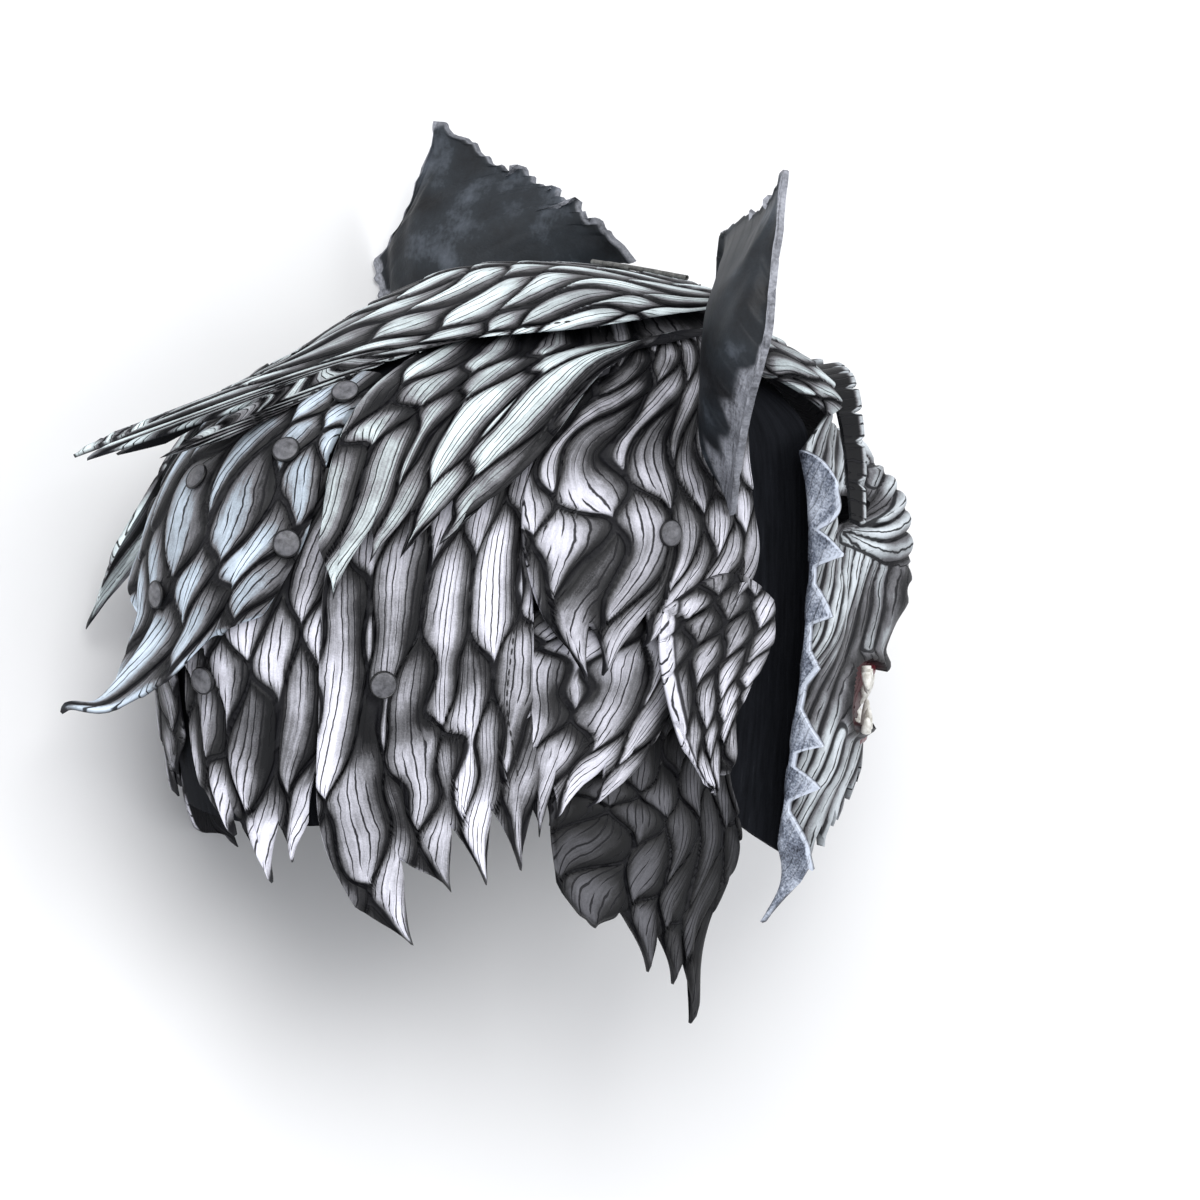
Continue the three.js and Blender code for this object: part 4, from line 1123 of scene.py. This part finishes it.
def face():
    """The hollow face, with holes for the eyes and the mouth and with flaps beyond its side rims."""
    inside = np.linspace(-1, 1, FACE_CELLS * COLUMNS_PER_CELL + 1)
    flap = np.linspace(0, 1, FLAP_COLUMNS + 1)[1:]
    column = np.concatenate([-1 - flap[::-1], inside, 1 + flap])
    column, level = np.meshgrid(column, np.linspace(0, FACE_LEVELS, FACE_LEVELS * ROWS_PER_LEVEL + 1))
    across = np.clip(column, -1, 1)
    beyond = np.abs(column) - 1

    # Points inside a hole move out to its rim, and cells with all four corners in a hole are left out.
    up = face_rows(across, beyond, level)
    right = face_level(up, "half_width") * np.sin(across * np.pi / 2)
    inside_hole = (oval_share(EYE, right, up) < 1) | (oval_share(MOUTH, right, up) < 1)
    for hole in (EYE, MOUTH):
        share = np.maximum(oval_share(hole, right, up), 0.02)
        side = np.where(right < 0, -1, 1)
        target = side * ((np.abs(right) - hole["right"]) / share + hole["right"])
        up = np.where(share < 1, hole["up"] + (up - hole["up"]) / share, up)
        right = np.where(share < 1, target, right)
    turned = np.arcsin(np.clip(right / face_level(up, "half_width"), -1, 1)) * 2 / np.pi
    across = np.where(beyond > 0, across, turned)
    kept = ~(inside_hole[:-1, :-1] & inside_hole[1:, :-1] & inside_hole[:-1, 1:] & inside_hole[1:, 1:])

    points = face_point(across, up)
    reach = flap_reach(up)
    flare = np.maximum(beyond, 0) * reach
    outward = FLAP_OUTWARD * np.sin(np.minimum(flare * 1.5, 1.57)) + 2 * flare
    hooked = np.clip((HOOK_TOP - up) / HOOK_LENGTH, 0, 1)
    forward = FLAP_FORWARD * flare**1.3 + FLAP_BEND * flare * ripple(up, up, 40, 88)
    forward = forward + HOOK_BEND * (np.sin(np.pi * hooked) - 0.9 * hooked**2)
    points = points + worn(forward, np.sign(column) * outward, -FLAP_DROOP * flare**2)

    height, fields = face_carving(up, points)
    inward = smooth_step(0.06, -0.06, beyond)
    fields |= {
        "tone": mix(FLAP_TONE, fields["tone"], inward),
        "rim": np.where(beyond > -0.02, np.maximum(1 - beyond, 0) * np.maximum(reach, 0.2) * 19, 9),
        # The flaps show the suede of the flesh side; the rest of the flesh side is painted shade.
        "suede": 1 - inward,
    }
    sheet("carved_face", points, height * inward, fields, "face", ["face_mask"],
          kept=kept, flipped=True)


face()


# The forehead and the brow

FOREHEAD_MIDDLE = [(22, 0, 130), (50, 0, 119), (80, 0, 105.5), (103, 0, 88.5)]
FOREHEAD_EDGE = [(5, 60, 106), (38, 65, 97), (62, 66, 84), (82, 61, 70)]
FOREHEAD_ROW_STEP = 1.3
FOREHEAD_COLUMNS = 7
FOREHEAD_ROWS = 2


def forehead():
    def place(a, b):
        a, b = np.broadcast_arrays(a, b)
        edge_share = 1 - np.sin(np.pi * a)
        return arch_point(along(FOREHEAD_MIDDLE, b), along(FOREHEAD_EDGE, b), 1 - 2 * a, edge_share)

    width_mm, length_mm = spans(place)
    a, share = lattice(int(width_mm / COLUMN_STEP) - 1, int(length_mm / FOREHEAD_ROW_STEP) - 1)
    beside = np.abs((a * 5) % 1 - 0.5) * 2
    b = share * mix(1, 0.92, beside**0.8)
    x_mm, y_mm = a * width_mm, b * length_mm
    p = a * FOREHEAD_COLUMNS + 0.4 * ripple(x_mm, y_mm, 60, 91)
    q = b * FOREHEAD_ROWS + 0.2 * ripple(x_mm, y_mm, 50, 92)
    height, fields = locks(p, q, width_mm / FOREHEAD_COLUMNS, length_mm / FOREHEAD_ROWS, 93)
    rim = fields["rim"] = from_rim(a, share, width_mm, length_mm)
    sheet("carved_forehead", place(a, b), bevel(height, rim), fields, "top",
          ["forehead_panel"])


CREST_ROOT = [(105, 5, 90), (103, 26, 86), (95, 50, 63), (84, 72, 22)]
CREST_FREE = [(126, 6, 91), (121, 25, 87), (108, 51, 63), (91, 76, 18)]
CREST_TEETH = 7
CREST_NOTCH = 0.34
CREST_WIDTH = 22
CREST_LENGTH = 100


def brow_crest(side, node, seed):
    """The jagged ruff over an eye, cut into blunt teeth."""
    a, share = lattice(120, 16)
    teeth = a * CREST_TEETH
    tooth = np.floor(teeth)
    beside = np.abs(teeth - tooth - 0.5) * 2
    gap = smooth_step(0.72, 0.95, beside)
    b = share * (1 - CREST_NOTCH * gap + 0.12 * (chance(tooth, side, seed) - 0.5))
    spot = mix(along(CREST_ROOT, a), along(CREST_FREE, a), b[..., None])
    points = worn(spot[..., 0], spot[..., 1] * side, spot[..., 2])
    rim = from_rim(a, share, CREST_LENGTH, CREST_WIDTH)
    height = 0.5 * (1 - beside**2) - 0.7 * smooth_step(1.2, 0, rim)
    fields = {
        "edge": (1 - beside) * 6 + 0.4, "border": np.full(rim.shape, NO_BORDER), "hair": teeth * 3 + 10,
        "grow": share * 0.7, "lock": chance(tooth, 1, seed), "rim": rim,
        "tone": -0.2 + 0.9 * smooth_step(0.62, 0.9, share) + 0.1 * chance(tooth, 2, seed),
    }
    sheet(f"toothed_{node}", points, height, fields, "face", [node],
          flipped=side == RIGHT)


forehead()
for side_name, side in SIDES:
    brow_crest(side, f"brow_crest_{side_name}", 96 + side)


# Teeth

LINING_DEPTH = 7
LINING_LEATHER = 1.2
LINING_ACROSS = 0.42
LINING_UP = (-58, -106)
# The teeth at the corners of the mouth: forward, right and length. The front ones stand at shares of the gum.
SIDE_TEETH = ((117, 40, 14), (112, 48, 11), (105, 56, 8))
FRONT_TEETH = (0.12, 0.21, 0.3, 0.44, 0.56, 0.7, 0.79, 0.88)
FANGS = (2, 5)
GUM_RADIUS = 4
GUM_END = (108, 32)
FANG_LENGTH = 17
TOOTH_LENGTH = 10
TOOTH_RADIUS = 2.9
SIDE_TOOTH_RADIUS = 2.7


def teeth_row(name, node, up, direction, gum_front):
    """A gum with its teeth, which point up (1) or down (-1)."""
    forward_end, right_end = GUM_END
    gum_points = [(forward_end, right_end), (gum_front - 10, 22), (gum_front, 0), (gum_front - 10, -22),
                  (forward_end, -right_end)]
    gum_path = [worn(f, r, up) for f, r in gum_points]
    shares = np.linspace(0, 1, 41)
    taper = np.minimum(1, np.sqrt(np.sin(np.pi * np.clip(shares, 0.002, 0.998))) * 1.6)
    wave = 1 + 0.10 * np.sin(shares * 16 * np.pi)
    parts = [(*tube(along(gum_path, shares), GUM_RADIUS * taper * wave, 14), 1.0)]
    for number, share in enumerate(FRONT_TEETH):
        is_fang = number in FANGS
        length = FANG_LENGTH if is_fang else TOOTH_LENGTH * (0.85 + 0.3 * chance(number, up, 5))
        radius = TOOTH_RADIUS * (1.3 if is_fang else 1.0)
        root = along(gum_path, share) + worn(0, 0, direction * 2.0)
        step = np.linspace(0, 1, 12)
        lean = worn(-2.5 * step**2 * (2 if is_fang else 1), (chance(number, 3, 9) - 0.5) * 3 * step, 0)
        path = root + worn(0, 0, direction * length * step) + lean
        profile = radius * np.sqrt(np.maximum(1 - step**1.6, 0.0)) * (1 + 0.15 * np.sin(np.pi * step))
        parts.append((*tube(path, np.maximum(profile, 0.05), 12), 0.0))
    for side in (RIGHT, LEFT):
        for forward, right, length in SIDE_TEETH:
            step = np.linspace(0, 1, 10)
            root = worn(forward, right * side, MOUTH_CORNER["up"] - direction * 15)
            path = root + worn(-1.5 * step, side * (3.0 * step + 2.0), direction * length * step)
            parts.append((*tube(path, SIDE_TOOTH_RADIUS * np.sqrt(1 - step**1.7) + 0.05, 10), 0.0))
    vertices, faces, gum = joined(parts)
    make_piece(name, vertices, faces, {"gum": gum}, "tooth", [node])


def mouth_lining():
    """A dark red wall behind the teeth, which closes the mouth."""
    across, up = np.meshgrid(np.linspace(LINING_ACROSS, -LINING_ACROSS, 49), np.linspace(*LINING_UP, 25))
    points = face_point(across, up) - worn(LINING_DEPTH, 0, 0)
    height = 0.6 * np.sin(up * 1.3) * (1 - (across / LINING_ACROSS) ** 2)
    fields = {"gum": np.ones(up.shape)}
    sheet("mouth_lining", points, height, fields, "gum", [], LINING_LEATHER)


mouth_lining()
teeth_row("upper_fangs", "upper_teeth", -67, -1, 143)
teeth_row("lower_fangs", "lower_teeth", -101, 1, 138)


# Rivets and lace

# The profile of a rivet's cap from its middle to its foot: radii and heights.
CAP_RADII = np.array([0.02, 3.0, 5.2, 5.9, 6.3, 6.75, 6.8, 6.5, 3.0, 0.02])
CAP_HEIGHTS = np.array([2.3, 2.15, 1.75, 1.45, 1.75, 1.35, 0.7, 0.0, 0.0, 0.0])
CAP_SIDES = 32


def rivet(node, angle, height, lift):
    """A domed cap with a rolled rim."""
    foot, axis = rivet_axis(angle, height, lift)
    step = np.linspace(0, 1, len(CAP_RADII))
    vertices, quads = tube(foot + axis * step[:, None], CAP_RADII, CAP_SIDES)
    offset = np.repeat((CAP_HEIGHTS - step)[:, None] * axis, CAP_SIDES, 0)
    make_piece(f"cap_{node}", vertices + offset, quads[:, ::-1], {"rim": np.repeat(CAP_RADII, CAP_SIDES)},
               "rivet", [node])


for rivet_name, rivet_place in RIVETS.items():
    rivet(rivet_name, *rivet_place)

LACE_RADIUS = 1.3
LACE_LIFT = 2.2
LACE_CROSSINGS = 9
LACE_HALF_WIDTH = 0.1
LACE_SPAN = (0.02, 0.15)


def crown_lacing():
    turns = np.arange(LACE_CROSSINGS + 1)
    across = np.where(turns % 2 == 0, LACE_HALF_WIDTH, -LACE_HALF_WIDTH)
    spots = crown_point(across, mix(*LACE_SPAN, turns / LACE_CROSSINGS))
    spots[:, 2] += LACE_RADIUS + LOCK_CROWN + LACE_LIFT
    vertices, quads = tube(along(spots, np.linspace(0, 1, 150)), LACE_RADIUS, 10)
    make_piece("crown_lace", vertices, quads, {}, "lace", ["crown_lacing"])


crown_lacing()


# Camera, light and floor

def direction_worn(forward, right, up):
    return Vector(LAY @ worn(forward, right, up))


view_right = direction_worn(math.cos(VIEW_TURN), math.sin(VIEW_TURN), 0)
level_back = direction_worn(-math.sin(VIEW_TURN), math.cos(VIEW_TURN), 0)
view_back = level_back * math.cos(VIEW_RISE) + direction_worn(0, 0, math.sin(VIEW_RISE))
view_up = view_back.cross(view_right)
view_target = (view_right * VIEW_OFFSET[0] + view_up * VIEW_OFFSET[1]) / 1000 + Vector(SHIFT)

camera = new_object("camera", bpy.data.cameras.new("camera"))
camera.data.lens = LENS_MM
camera.data.sensor_width = SENSOR_MM
camera.data.clip_end = 50
camera.matrix_world = Matrix.Translation(view_target + view_back * VIEW_DISTANCE / 1000) @ Matrix(
    [view_right, view_up, view_back]).transposed().to_4x4()
bpy.context.scene.camera = camera


def soft_light(name, offset, size, power, color=(1, 1, 1)):
    lamp = bpy.data.lights.new(name, "AREA")
    lamp.shape = "DISK"
    lamp.size = size
    lamp.energy = power
    lamp.color = color
    light = new_object(name, lamp)
    light.location = Vector(SHIFT) + offset
    light.rotation_euler = (-offset).to_track_quat("-Z", "Y").to_euler()


# Offsets and sizes in metres, powers in watts.
soft_light("key", view_up * 1.0 + view_back * 1.7 + view_right * 0.1, 1.7, 36)
soft_light("fill", view_right * -1.4 + view_back * 0.9 - view_up * 0.6, 1.6, 9, (0.93, 0.96, 1.0))
soft_light("face_side", view_right * 1.5 + view_back * 0.6 + view_up * 0.1, 1.2, 9)

WORLD_COLOR = (0.93, 0.95, 1.0, 1)
WORLD_STRENGTH = 0.7
FLOOR_HALF = 6.0
world = bpy.data.worlds.new("studio")
world.use_nodes = True
background = world.node_tree.nodes["Background"].inputs
background["Color"].default_value = WORLD_COLOR
background["Strength"].default_value = WORLD_STRENGTH
bpy.context.scene.world = world

floor_mesh = bpy.data.meshes.new("floor")
floor_corners = [(FLOOR_HALF * x, FLOOR_HALF * y, 0) for x, y in ((-1, -1), (1, -1), (1, 1), (-1, 1))]
floor_mesh.from_pydata(floor_corners, [], [(0, 1, 2, 3)])
floor_mesh.materials.append(
    plain_material("floor", (0.80, 0.80, 0.80), (0.82, 0.82, 0.82), 3.0, 0.9, 0.00001))
floor = new_object("floor", floor_mesh)

bpy.context.scene.view_settings.view_transform = "Standard"
